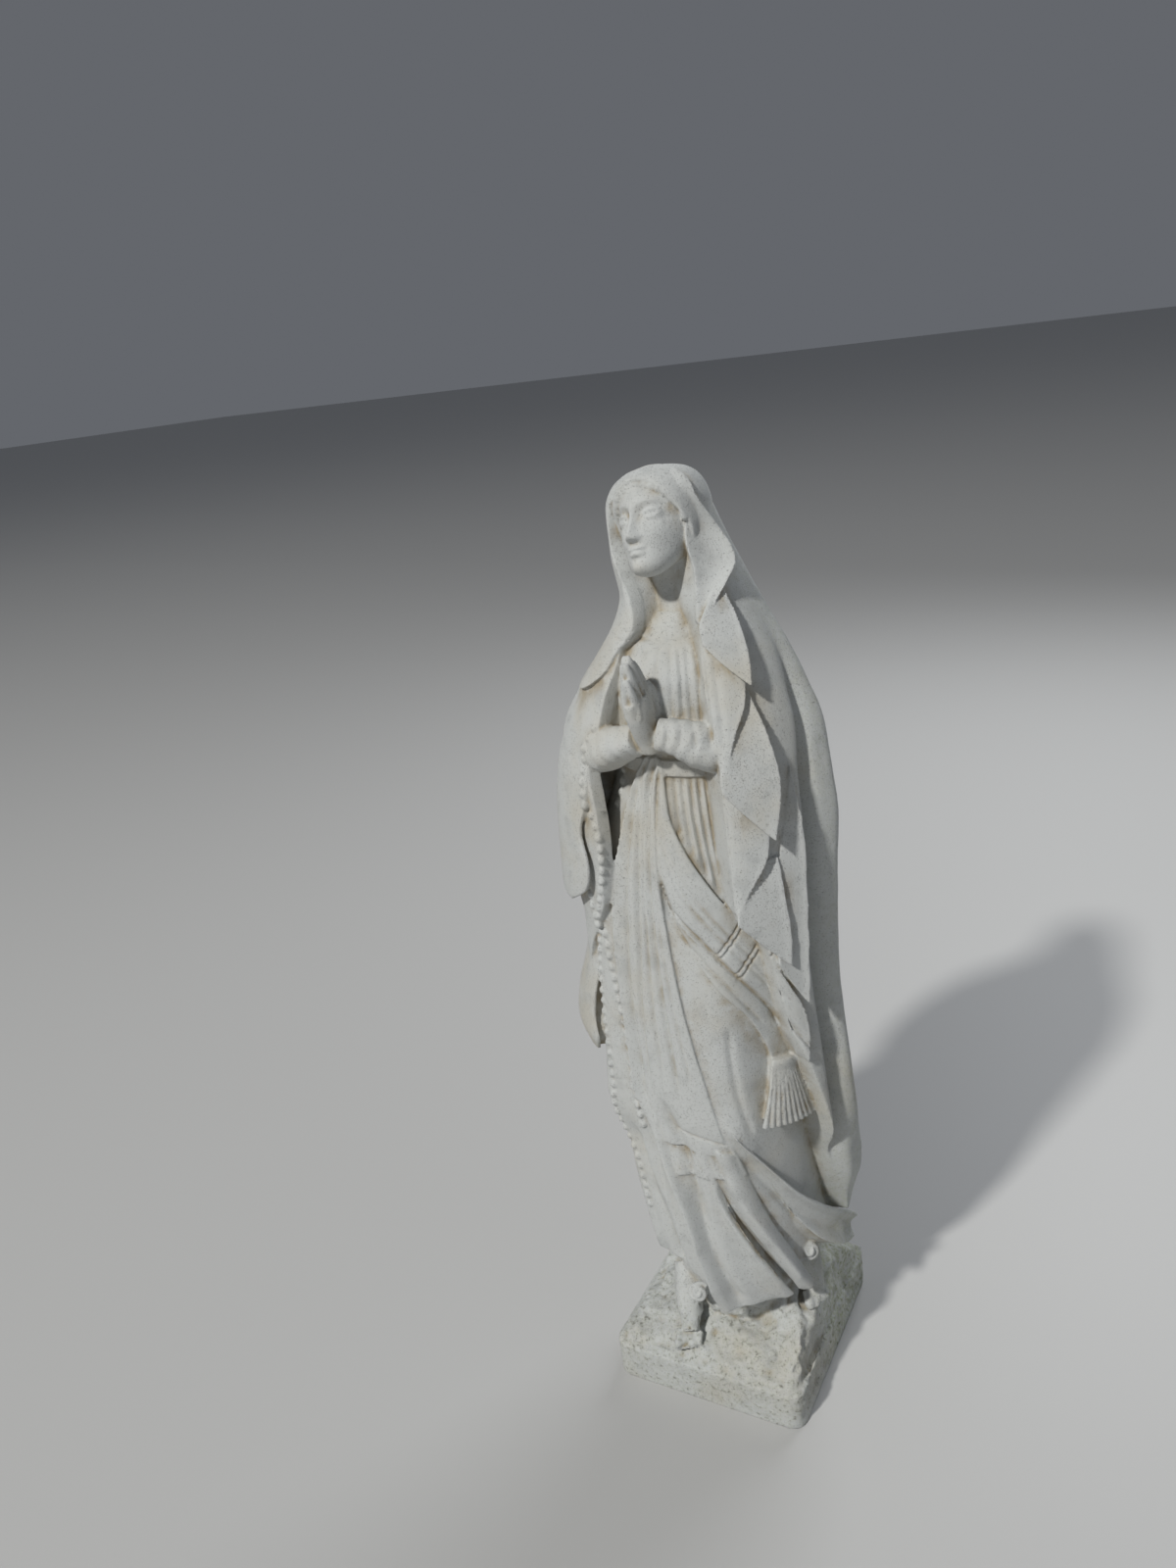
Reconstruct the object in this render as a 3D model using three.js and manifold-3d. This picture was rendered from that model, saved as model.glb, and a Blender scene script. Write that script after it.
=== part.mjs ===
// A standing woman at prayer, cast in one piece of pale stone with the rocky block under her feet.
// Millimetres, +Z up. She faces -Y and her left is +X. The origin is the middle of the block's
// underside.
import * as THREE from "three";
import { mergeVertices } from "three/addons/utils/BufferGeometryUtils.js";
import Module from "manifold-3d";

// Driving sizes.
const figureHeight = 905; // rock top under her feet to crown
const blockWidth = 222;
const blockDepth = 244;
const blockHeight = 95; // underside to rock top under her feet
const ledgeHeight = 46; // straight band round the foot of the block
const cornerRadius = 16;
const beadDiameter = 8.4;
const beadPitch = 12;

// The carving is drawn as a figure 905 high that stands 95 above the block's underside. Its places are
// kept as shares of that height, so a taller figure keeps her pose and proportions.
const drawnFigure = 905;
const drawnRock = 95;
const share = figureHeight / drawnFigure;

const degree = Math.PI / 180;
const wasm = await Module();
wasm.setup();

// A smooth track through stations [place, value, value, ...], level at each turning point.
function track(stations) {
  const places = stations.map((s) => s[0]);
  const width = stations[0].length - 1;
  const slope = (i, c) => (stations[i + 1][c] - stations[i][c]) / (places[i + 1] - places[i]);
  const tangents = stations.map((_, i) =>
    Array.from({ length: width }, (_, k) => {
      if (i === 0 || i === stations.length - 1) return slope(i === 0 ? 0 : i - 1, k + 1);
      const before = slope(i - 1, k + 1);
      const after = slope(i, k + 1);
      return before * after <= 0 ? 0 : (2 * before * after) / (before + after);
    }),
  );
  return (place) => {
    const at = Math.min(Math.max(place, places[0]), places[places.length - 1]);
    let i = 0;
    while (i < places.length - 2 && at > places[i + 1]) i += 1;
    const span = places[i + 1] - places[i];
    const t = (at - places[i]) / span;
    return Array.from({ length: width }, (_, k) => {
      const a = stations[i][k + 1];
      const b = stations[i + 1][k + 1];
      const ease = t * t * (3 - 2 * t);
      const leave = t * (1 - t) * (1 - t) * span * tangents[i][k];
      const arrive = t * t * (t - 1) * span * tangents[i + 1][k];
      return a + (b - a) * ease + leave + arrive;
    });
  };
}

const bell = (x) => Math.exp(-x * x);
const step = (x) => Math.min(Math.max(x, 0), 1) ** 2 * (3 - 2 * Math.min(Math.max(x, 0), 1));

// A closed solid from a BufferGeometry whose faces point out.
function solid(geometry) {
  const bare = geometry.index ? geometry.toNonIndexed() : geometry.clone();
  for (const name of Object.keys(bare.attributes)) {
    if (name !== "position") bare.deleteAttribute(name);
  }
  const merged = mergeVertices(bare, 1e-3);
  const mesh = new wasm.Mesh({
    numProp: 3,
    vertProperties: merged.attributes.position.array,
    triVerts: new Uint32Array(merged.index.array),
  });
  return new wasm.Manifold(mesh);
}

const vector = (x, y, z) => new THREE.Vector3(x, y, z);
const placed = (p) => vector(p.x * share, p.y * share, blockHeight + (p.z - drawnRock) * share);

// Points and faces to a geometry, turned round if it came out inside out.
function geometryOf(points, faces) {
  const flat = points.flatMap((p) => [p.x, p.y, p.z]);
  const volume = faces.reduce((sum, [a, b, c]) => {
    const cross = new THREE.Vector3().crossVectors(points[b], points[c]);
    return sum + points[a].dot(cross);
  }, 0);
  const index = faces.flatMap(([a, b, c]) => (volume < 0 ? [a, c, b] : [a, b, c]));
  const geometry = new THREE.BufferGeometry();
  geometry.setAttribute("position", new THREE.Float32BufferAttribute(flat, 3));
  geometry.setIndex(index);
  return geometry;
}

// A closed body from rings of points, each end closed by a fan.
function loft(rings, put = placed) {
  const n = rings[0].length;
  const points = rings.flat();
  const faces = [];
  const quad = (a, b, c, d) => faces.push([a, b, c], [a, c, d]);
  for (let j = 0; j < rings.length - 1; j += 1) {
    for (let i = 0; i < n; i += 1) {
      const k = (i + 1) % n;
      quad(j * n + i, j * n + k, (j + 1) * n + k, (j + 1) * n + i);
    }
  }
  for (const end of [0, rings.length - 1]) {
    const middle = new THREE.Vector3();
    rings[end].forEach((p) => middle.addScaledVector(p, 1 / n));
    const centre = points.push(middle) - 1;
    for (let i = 0; i < n; i += 1) {
      const pair = [end * n + i, end * n + ((i + 1) % n)];
      faces.push(end === 0 ? [centre, pair[1], pair[0]] : [centre, pair[0], pair[1]]);
    }
  }
  return solid(geometryOf(points.map(put), faces));
}

// A closed sheet between two grids of points of one size, an outer and an inner face.
function slab(outer, inner) {
  const rows = outer.length;
  const n = outer[0].length;
  const points = [...outer.flat(), ...inner.flat()];
  const back = rows * n;
  const faces = [];
  const quad = (a, b, c, d) => faces.push([a, b, c], [a, c, d]);
  for (let j = 0; j < rows - 1; j += 1) {
    for (let i = 0; i < n - 1; i += 1) {
      const a = j * n + i;
      quad(a, a + 1, a + n + 1, a + n);
      quad(back + a, back + a + n, back + a + n + 1, back + a + 1);
    }
  }
  for (let j = 0; j < rows - 1; j += 1) {
    const a = j * n;
    const b = a + n - 1;
    quad(a, a + n, back + a + n, back + a);
    quad(b + n, b, back + b, back + b + n);
  }
  for (let i = 0; i < n - 1; i += 1) {
    const b = (rows - 1) * n + i;
    quad(i + 1, i, back + i, back + i + 1);
    quad(b, b + 1, back + b + 1, back + b);
  }
  return solid(geometryOf(points.map(placed), faces));
}

const span = (count) => Array.from({ length: count + 1 }, (_, i) => i / count);

// Two skins carry the carving. Each is a plan outline at every height: half width to her right and
// left, depth in front and behind, and how far its middle stands to her left.
const dressPlan = track([
  [60, 80, 88, 84, 80, 4],
  [110, 86, 94, 92, 86, 4],
  [160, 96, 100, 102, 92, 4],
  [220, 104, 98, 105, 92, 2],
  [290, 113, 96, 104, 90, 1],
  [400, 112, 94, 98, 86, 0],
  [500, 109, 92, 92, 82, 0],
  [600, 99, 88, 86, 78, 0],
  [680, 87, 80, 78, 72, 0],
  [732, 76, 74, 71, 66, 0],
  [770, 80, 80, 78, 68, 0],
  [812, 82, 84, 78, 68, 0],
  [842, 66, 68, 64, 60, 0],
  [858, 42, 44, 50, 48, 3],
  [872, 30, 32, 36, 36, 4],
]);
const cloakPlan = track([
  [110, 96, 120, 96, 104, 2],
  [190, 104, 127, 98, 106, 2],
  [255, 114, 136, 100, 104, 2],
  [320, 124, 136, 100, 100, 0],
  [400, 138, 133, 102, 96, 0],
  [450, 142, 130, 103, 95, 0],
  [500, 137, 128, 104, 94, 0],
  [550, 135, 129, 104, 94, 0],
  [600, 141, 131, 105, 94, 0],
  [669, 143, 134, 106, 92, 0],
  [720, 140, 128, 106, 88, 0],
  [760, 130, 122, 102, 84, 0],
  [800, 106, 108, 94, 80, 0],
  [832, 85, 92, 80, 76, 3],
  [868, 66, 72, 63, 70, 5],
  [890, 58, 64, 57, 66, 2],
  [912, 58, 58, 55, 64, -2],
  [940, 54, 51, 52, 62, -8],
  [965, 51, 44, 48, 56, -11],
  [983, 42, 33, 40, 44, -13],
  [994, 27, 20, 27, 28, -14],
  [1000, 8, 7, 8, 8, -14],
]);

function radiusOf(plan, angle, z) {
  const [right, left, front, behind] = plan(z);
  const side = Math.sin(angle * degree);
  const face = Math.cos(angle * degree);
  const wide = side < 0 ? right : left;
  const deep = face > 0 ? front : behind;
  return 1 / Math.hypot(side / wide, face / deep);
}

// A fold runs down a skin: its route as [height, angle] from the foot up, how far it stands out
// (less than nothing for a groove) and how wide it is.
const fold = (route, depth, width) => ({
  at: track(route),
  foot: route[0][0],
  top: route[route.length - 1][0],
  depth,
  width,
});
const cloakFolds = [
  fold([[180, 96], [300, 86], [511, 80], [600, 76], [702, 78], [840, 90]], -20, 8),
  fold([[180, 112], [400, 92], [600, 89], [836, 100], [930, 112]], 9, 12),
  fold([[150, 122], [500, 106], [860, 112]], -8, 8),
  fold([[120, 136], [500, 122], [900, 124]], 8, 13),
  fold([[120, 150], [500, 138], [880, 138]], -7, 9),
  fold([[120, 166], [500, 156], [900, 152]], 8, 14),
  fold([[120, 180], [500, 172], [860, 168]], -7, 10),
  fold([[120, -164], [500, -170], [900, -170]], 8, 13),
  fold([[130, -148], [500, -153], [840, -156]], -7, 9),
  fold([[140, -132], [500, -136], [880, -138]], 8, 13),
  fold([[170, -116], [500, -121], [800, -124]], -6, 9),
  fold([[240, -100], [500, -104], [820, -108]], 6, 12),
];
const dressFolds = [
  fold([[130, -30], [250, -42], [420, -52]], 5, 9),
  fold([[120, -10], [260, -22], [480, -32]], -4, 7),
  fold([[330, 34], [460, 30], [560, 22]], 7, 26),
  fold([[330, -46], [420, -50], [520, -52], [600, -52], [700, -54]], 18, 30),
];

function relief(folds, angle, z, radius) {
  return folds.reduce((sum, { at, foot, top, depth, width }) => {
    const turn = ((angle - at(z)[0] + 540) % 360) - 180;
    const t = (z - foot) / (top - foot);
    const fade = step((t + 0.1) / 0.2) * step((1.05 - t) / 0.3);
    return sum + depth * fade * bell((turn * degree * radius) / width);
  }, 0);
}

function skinPoint(plan, folds, angle, z, lift = 0) {
  const base = radiusOf(plan, angle, z);
  const radius = base + relief(folds, angle, z, base) + lift;
  const middle = plan(z)[4];
  return vector(middle + radius * Math.sin(angle * degree), -radius * Math.cos(angle * degree), z);
}
const dress = (angle, z, lift) => skinPoint(dressPlan, dressFolds, angle, z, lift);
const cloak = (angle, z, lift) => skinPoint(cloakPlan, cloakFolds, angle, z, lift);

// The hems, by angle from the front towards her left.
const dressHem = track([
  [-180, 120],
  [-100, 130],
  [-60, 152],
  [-30, 170],
  [-8, 158],
  [8, 132],
  [30, 126],
  [52, 138],
  [66, 160],
  [100, 150],
  [140, 128],
  [180, 120],
]);
const cloakHem = track([
  [-180, 150],
  [-130, 176],
  [-100, 300],
  [-78, 388],
  [-60, 396],
  [0, 396],
  [60, 300],
  [88, 196],
  [130, 168],
  [180, 150],
]);

// A body under a skin, from its hem up to a level top.
function skinBody(skin, hem, top, heights, angles) {
  const rings = heights.map((v) =>
    angles.map((angle) => {
      const [foot] = hem(angle > 180 ? angle - 360 : angle);
      return skin(angle, foot + (top - foot) * v);
    }),
  );
  return loft(rings);
}

// Her dress, with a plain stem inside it down to the rock.
function dressBody() {
  const dressTop = 872;
  const faceEdge = 102; // her front reaches this angle on both sides, and only that part is carved
  const front = span(15).map((u) => faceEdge * (2 * u - 1));
  const angles = [...front, 150, 195, 230];
  const stemInset = 17;
  const stem = [drawnRock - 40, 130, 190].map((z) =>
    span(14).slice(1).map((u) => dress(360 * u, z, -stemInset)),
  );
  return skinBody(dress, dressHem, dressTop, span(13), angles).add(loft(stem));
}

// The cloak is open in front between two edges, written as angles by height.
const rightEdge = track([
  [100, -102],
  [380, -74],
  [480, -68],
  [520, -60],
  [560, -47],
  [600, -37],
  [674, -34],
  [740, -37],
  [775, -31],
  [822, -29],
  [841, -30],
  [860, -23],
  [885, -30],
  [905, -41],
  [935, -53],
  [965, -51],
  [983, -34],
  [994, -12],
]);
const leftEdge = track([
  [100, 106],
  [190, 100],
  [250, 91],
  [330, 79],
  [418, 68],
  [455, 61],
  [509, 56],
  [551, 52],
  [582, 42],
  [600, 37],
  [725, 36],
  [850, 33],
  [870, 33],
  [905, 41],
  [921, 45],
  [957, 50],
  [983, 34],
  [994, 8],
]);

// The cloak hangs clear behind its right-hand edge, from the sleeve to the thigh.
const clothThickness = 13;
const hollowReach = track([
  [560, 0],
  [620, 24],
  [735, 34],
  [772, 0],
]);

function cloakOpening() {
  const outside = 260; // beyond the cloak
  const core = 18; // the walls run in to this radius
  const low = 80;
  const high = 994;
  const rings = span(26).map((v) => {
    const z = low + (high - low) * v;
    const [from] = rightEdge(z);
    const [to] = leftEdge(z);
    const [reach] = hollowReach(z);
    const [, , , , middle] = cloakPlan(z);
    const lining = (angle) => (reach > 0.5 ? radiusOf(cloakPlan, angle, z) - clothThickness : core);
    const behind = [1, 0.66, 0.33].map((u) => [from - reach * u, lining(from - reach * u)]);
    const wall = [from - 0.01, lining(from)];
    const front = span(4).map((u) => [from + (to - from) * u, outside]);
    const leftWall = [160, 110, 70, core].map((r) => [to, r]);
    const outline = [[from - reach - 1, core], ...behind, wall, ...front, ...leftWall];
    return outline.map(([angle, r]) =>
      vector(middle + r * Math.sin(angle * degree), -r * Math.cos(angle * degree), z),
    );
  });
  return loft(rings);
}

function cloakBody() {
  const edges = [-66, -56, -46, -38, -30, -12, 12, 30, 38, 46, 54, 62, 70];
  const pleats = [80, 90, 107, 122, 138, 155, 172, 190, 207, 223, 239, 256, 270, 282];
  const angles = [...edges, ...pleats];
  const heights = [...span(14).map((u) => 0.93 * u), 0.97, 1]; // closer near the crown
  const veilTop = 1000;
  return skinBody(cloak, cloakHem, veilTop, heights, angles).subtract(cloakOpening());
}

// Cloth laid on a skin between two edges. Each edge is a curve through [angle, height, lift] from its
// top down. The swell raises the cloth between the edges, and its back is sunk into the body.
function laid(skin, edgeA, edgeB, { across = 3, down = 5, swell = () => 0, sink = 12 } = {}) {
  const curve = (points) =>
    new THREE.CatmullRomCurve3(points.map((p) => vector(...p)), false, "centripetal");
  const a = curve(edgeA);
  const b = curve(edgeB);
  const grid = (raise) =>
    span(down).map((v) =>
      span(across).map((u) => raise(a.getPoint(v).lerp(b.getPoint(v), u), u, v)),
    );
  const outer = grid((p, u, v) => skin(p.x, p.y, p.z + swell(u, v)));
  const inner = grid((p) => skin(p.x, p.y, Math.min(p.z, 0) - sink));
  return slab(outer, inner);
}
const crown = (height) => (u) => height * Math.sin(Math.PI * u);

// The veil turns out beside her face and its edge falls down her left in a zigzag. Each broad fold
// widens downwards to an outer turn, and its return narrows like a leaf to the next inner turn.
function leftFall() {
  const veilFlap = laid(
    cloak,
    [[46, 968, 1], [50, 957, 2], [46, 935, 2], [41, 908, 3], [33, 868, 5]],
    [[60, 984, 3], [69, 968, 5], [75, 940, 8], [73, 918, 9], [62, 903, 9], [35, 866, 7]],
    { swell: crown(2), down: 6 },
  );
  const folds = [
    [
      [[57, 898, 6], [44, 884, 9], [33, 867, 11], [33, 851, 13]],
      [[60, 899, 6], [60, 872, 9], [60, 842, 12], [58, 814, 15]],
    ],
    [
      [[47, 801, 4], [42, 768, 5], [35, 737, 8], [35, 722, 11]],
      [[57, 806, 4], [61, 768, 8], [64, 727, 10], [62, 674, 13]],
    ],
    [
      [[50, 648, 2], [43, 620, 4], [38, 602, 7], [37, 590, 10]],
      [[57, 650, 4], [58, 610, 7], [59, 570, 9], [58, 540, 11]],
    ],
    [
      [[57, 640, 2], [56, 590, 5], [55, 560, 6], [54, 541, 8]],
      [[70, 734, 2], [70, 640, 7], [72, 560, 10], [73, 491, 12]],
    ],
  ].map(([inner, outer]) => laid(cloak, inner, outer, { swell: crown(2.5) }));
  const returns = [
    [
      [[34, 850, 3], [35, 815, 4], [35, 772, 5], [36, 732, 7]],
      [[58, 815, 9], [55, 797, 9], [47, 774, 9], [37, 733, 8]],
    ],
    [
      [[37, 717, 1], [38, 690, 2], [37, 640, 3], [37, 598, 5]],
      [[61, 676, 7], [60, 652, 7], [52, 630, 7], [38, 599, 6]],
    ],
    [
      [[54, 540, 0], [56, 509, 1], [60, 465, 2], [66, 421, 4]],
      [[72, 493, 7], [72, 474, 7], [70, 447, 7], [67, 421, 5]],
    ],
  ].map(([inner, outer]) => laid(cloak, inner, outer, { across: 2, swell: crown(2) }));
  return [veilFlap, ...folds, ...returns];
}

// On her right the cloak makes a short cape over the shoulder, a long lappet with a rounded end and
// one more tongue below it.
function rightFall() {
  const cape = laid(
    cloak,
    [[-30, 886, 0], [-24, 862, 3], [-31, 842, 6], [-36, 822, 8], [-50, 806, 8], [-66, 802, 3]],
    [[-44, 900, 0], [-48, 886, 0], [-54, 872, 1], [-60, 856, 1], [-68, 838, 0], [-76, 826, -2]],
    { swell: crown(1) },
  );
  const lappet = laid(
    cloak,
    [[-37, 738, 0], [-39, 700, 4], [-44, 666, 7], [-40, 634, 9], [-43, 606, 11], [-58, 583, 13]],
    [[-104, 738, 0], [-106, 690, 5], [-107, 650, 8], [-106, 620, 11], [-102, 596, 13], [-92, 584, 14]],
    { across: 6, swell: crown(1) },
  );
  const upperTongue = laid(
    cloak,
    [[-47, 600, -9], [-50, 570, -11], [-53, 540, -11], [-54, 514, -9]],
    [[-94, 612, -2], [-96, 570, -1], [-98, 535, 0], [-99, 502, 2]],
    { swell: crown(2) },
  );
  const lowerTongue = laid(
    cloak,
    [[-56, 524, -8], [-57, 482, 1], [-58, 444, 6], [-56, 416, 8], [-62, 397, 6]],
    [[-106, 520, 0], [-104, 482, 8], [-101, 450, 18], [-98, 430, 22], [-93, 396, 12]],
    { swell: crown(3) },
  );
  return [cape, lappet, upperTongue, lowerTongue];
}

// A knotted sash: two long ends hang from the middle of the belt.
function sash() {
  const belt = laid(
    dress,
    [[-46, 742, 2], [-46, 727, 2]],
    [[52, 740, 2], [52, 723, 2]],
    { across: 9, down: 2, swell: () => 1 },
  );
  const leftEnd = laid(
    dress,
    [[-12, 744, 3], [-25, 716, 5], [-35, 642, 5], [-38, 560, 5], [-36, 470, 5], [-32, 385, 5],
      [-24, 330, 4]],
    [[0, 744, 4], [-5, 716, 6], [-6, 640, 7], [-2, 565, 7], [5, 480, 7], [15, 395, 7],
      [24, 320, 6]],
    { across: 4, down: 9, swell: (u) => 1.6 * Math.cos(4 * Math.PI * u) },
  );
  const rightEnd = laid(
    dress,
    [[-2, 740, 3], [-5, 700, 3], [-6, 640, 4], [2, 590, 5], [22, 550, 6], [42, 508, 7], [64, 454, 8]],
    [[1, 738, 4], [4, 690, 5], [13, 655, 6], [25, 622, 7], [42, 580, 7], [56, 540, 8], [76, 470, 8]],
    { across: 3, down: 9, swell: crown(1.5) },
  );
  const underEnd = laid(
    dress,
    [[2, 590, 1], [12, 552, 2], [26, 512, 3], [42, 476, 4], [52, 440, 5], [56, 408, 6]],
    [[8, 588, 3], [24, 548, 4], [42, 508, 5], [56, 474, 6], [66, 445, 7], [70, 410, 8]],
    { across: 2, down: 7 },
  );
  const tassel = laid(
    dress,
    [[54, 420, 7], [50, 392, 9], [43, 355, 11]],
    [[68, 418, 9], [74, 384, 13], [80, 344, 16]],
    { across: 4, down: 3, swell: crown(3) },
  );
  const fringe = laid(
    dress,
    [[-8, 352, 3], [-7, 322, 4], [-4, 288, 5]],
    [[24, 336, 5], [29, 318, 6], [33, 296, 7]],
    { down: 3, swell: crown(1) },
  );
  return [belt, leftEnd, rightEnd, underEnd, tassel, fringe];
}

// The skirt sweeps to her left: a broad panel over the right foot, a narrow fold beside it and a
// train that flares out above the left foot.
function skirt() {
  const panel = laid(
    dress,
    [[-24, 348, 2], [-17, 309, 4], [-8, 265, 7], [-1, 222, 9], [4, 176, 12], [9, 124, 15]],
    [[14, 330, 2], [17, 290, 4], [24, 248, 7], [33, 212, 10], [43, 174, 13], [54, 137, 16]],
    { across: 4, down: 7, swell: (u) => 3 - 9 * Math.sin(Math.PI * u) },
  );
  const side = laid(
    dress,
    [[22, 300, 0], [27, 262, 2], [37, 222, 5], [47, 184, 9], [57, 142, 13]],
    [[34, 296, 0], [41, 258, 2], [50, 216, 5], [58, 180, 9], [62, 152, 13]],
    { swell: crown(4) },
  );
  const train = laid(
    dress,
    [[27, 350, 0], [36, 326, 4], [47, 298, 7], [62, 258, 11], [80, 222, 18], [98, 188, 27],
      [108, 166, 31]],
    [[34, 320, 0], [43, 290, 1], [52, 256, 3], [62, 220, 7], [74, 184, 16], [88, 160, 25],
      [102, 146, 30]],
    { down: 8, swell: crown(-3) },
  );
  return [panel, side, train];
}

// Head frame: the origin is between the ears, -Y is her face and +Z her crown.
const headPlace = vector(-2, -19, 953);
const headTurn = new THREE.Euler(-13 * degree, -12 * degree, -14 * degree, "ZXY");
const inHead = (x, y, z) => vector(x, y, z).applyEuler(headTurn).add(headPlace);

// Half width, half depth and middle of the head at each height above the eyes.
const headPlan = track([
  [-53, 6, 6, -31],
  [-50, 13, 13, -28],
  [-42, 20, 23, -19],
  [-30, 26, 33, -8],
  [-15, 31, 39, -2],
  [0, 34, 42, 2],
  [15, 36, 44, 3],
  [28, 34, 42, 3],
  [38, 28, 34, 4],
  [45, 18, 22, 5],
  [49, 6, 8, 5],
]);

// Raised or sunk places of the face: [across, height, width, tallness, depth], both sides alike.
const faceMarks = [
  [0, 1, 4, 10, 2],
  [0, -12, 4.5, 9, 7],
  [0, -18, 6, 5, 5],
  [6, -20, 3.5, 3.5, 3],
  [15, 3, 9, 6, -5],
  [15, 0, 6, 3.6, 3.5],
  [15, 11, 11, 3.5, 1.5],
  [0, -31, 9, 2.6, 3],
  [0, -36, 8, 2.8, 3],
  [0, -47, 9, 6, 3],
  [19, -18, 11, 10, 2],
];

function headBody() {
  const halfAngles = [0, 9, 18, 28, 40, 56, 78, 110, 150];
  const angles = [...halfAngles.slice(1).reverse().map((a) => -a), ...halfAngles, 180];
  const heights = [-53, -49, -42, -36, -33, -30, -24, -19, -10, 0, 6, 12, 26, 40, 49];
  const rings = heights.map((z) => {
    const [wide, deep, middle] = headPlan(z);
    return angles.map((angle) => {
      const x = wide * Math.sin(angle * degree);
      const y = middle - deep * Math.cos(angle * degree);
      const front = Math.abs(angle) < 90 ? 1 : 0;
      const raised = faceMarks.reduce((sum, [across, height, width, tall, depth]) => {
        const near = bell((Math.abs(x) - across) / width) * bell((z - height) / tall);
        return sum + depth * near * front;
      }, 0);
      return inHead(x, y - raised, z);
    });
  });
  return loft(rings);
}

// A round limb through stations [centre, half width, half depth].
function limb(centres, radii, sides = 8, squash = 1) {
  const curve = new THREE.CatmullRomCurve3(centres, false, "centripetal");
  const frame = curve.computeFrenetFrames(radii.length - 1, false);
  const rings = radii.map((r, i) => {
    const centre = curve.getPointAt(i / (radii.length - 1));
    return span(sides).slice(1).map((u) => {
      const turn = 2 * Math.PI * u;
      return centre
        .clone()
        .addScaledVector(frame.normals[i], r * Math.cos(turn) * squash)
        .addScaledVector(frame.binormals[i], r * Math.sin(turn));
    });
  });
  return loft(rings);
}

// Hair shows as a wavy roll between the forehead and the veil.
function hair() {
  const arch = [[-34, -8, -26], [-35, -14, 0], [-30, -22, 20], [-18, -31, 34], [0, -34, 39]];
  const half = arch.map((p) => inHead(...p));
  const other = arch.slice(0, -1).reverse().map(([x, y, z]) => inHead(-x, y, z));
  const radii = span(10).map((u) => 6 + 0.8 * Math.cos(10 * Math.PI * u));
  return limb([...half, ...other], radii, 5);
}

function neck() {
  const centres = [vector(8, 4, 838), vector(6, -2, 868), vector(1, -8, 900), vector(-3, -12, 940)];
  const collar = { middle: 4, wide: 40, deep: 44, height: 858, dip: 6, thick: 3 };
  const ring = limb(
    span(16).slice(1).map((u) => {
      const turn = 2 * Math.PI * u;
      const x = collar.middle + collar.wide * Math.sin(turn);
      return vector(x, -collar.deep * Math.cos(turn), collar.height - collar.dip * Math.cos(turn));
    }),
    span(14).map(() => collar.thick),
    4,
  );
  return [limb(centres, [27, 24, 22, 22, 23], 12), ring];
}

// Hand frame: the palms meet on the plane x = 0, Y runs from the thumb to the little finger and Z to
// the fingertips.
const handPlace = vector(-2, -90, 764);
const handLean = new THREE.Euler(16 * degree, -2 * degree, 3 * degree);
const inHand = (x, y, z) => vector(x, y, z).applyEuler(handLean).add(handPlace);
const fingers = [
  { along: 13, root: 44, length: 37, radius: 5.2 },
  { along: 4, root: 46, length: 43, radius: 5.4 },
  { along: -5.5, root: 45, length: 40, radius: 5.2 },
  { along: -14, root: 41, length: 32, radius: 4.6 },
];

function hand(side) {
  const palm = [
    [-8, 11, 10],
    [4, 11.5, 11.5],
    [18, 12, 16],
    [34, 12, 19],
    [48, 10, 19],
  ].map(([z, thick, half]) =>
    span(10).slice(1).map((u) => {
      const turn = 2 * Math.PI * u;
      const x = Math.max(Math.cos(turn) * thick, 0) + 0.01;
      return inHand(side * x, Math.sin(turn) * half, z);
    }),
  );
  const made = [loft(palm)];
  for (const { along, root, length, radius } of fingers) {
    const centres = [0, 0.5, 1].map((t) => {
      const bend = 4.5 - 3 * t * t;
      return inHand(side * bend, along * (1 - 0.3 * t), root + length * t);
    });
    made.push(limb(centres, [1, 1, 0.9, 0.5].map((k) => k * radius), 6));
  }
  const thumb = [vector(4, 14, 16), vector(5, 20, 34), vector(4, 19, 54)];
  made.push(limb(thumb.map((p) => inHand(side * p.x, p.y, p.z)), [6, 6.4, 5.6, 3], 6));
  return made;
}

// Sleeves gather in rings towards the wrists.
function sleeve(centres, radii) {
  return limb(
    centres.map((p) => vector(...p)),
    radii.map((r, i) => r * (1 + (i % 2 ? 0.03 : -0.03))),
    9,
  );
}
function arms() {
  const left = sleeve(
    [[88, -18, 744], [70, -54, 754], [48, -76, 758], [24, -88, 770], [8, -93, 774]],
    [30, 31, 29, 28, 25, 20, 15],
  );
  const right = sleeve(
    [[-88, -14, 738], [-76, -46, 744], [-57, -74, 750], [-32, -88, 760], [-12, -92, 767]],
    [28, 28, 27, 26, 22, 18, 14],
  );
  return [left, right, ...hand(1), ...hand(-1)];
}

// A string of beads loops from her right sleeve to below the knee and back up to the belt. Each
// route is a run of [angle, height], looked at from a distance that clears only what lies outside it,
// and every bead is seated on the carving where its route passes.
const beadRoutes = [
  {
    clear: 160,
    route: [[-34, 774], [-39, 750], [-41, 720], [-39, 692], [-36, 672], [-35, 655], [-36, 630],
      [-39, 605], [-44, 580], [-49, 555], [-52, 520], [-52, 490], [-50, 440], [-47, 400], [-45, 372],
      [-46, 345], [-46, 310], [-42, 288], [-39, 265], [-36, 225]],
  },
  {
    clear: 14,
    route: [[-44, 722], [-45, 680], [-46, 640], [-49, 588], [-45, 540], [-42, 505], [-37, 450],
      [-33, 380], [-31, 335]],
  },
];

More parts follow.
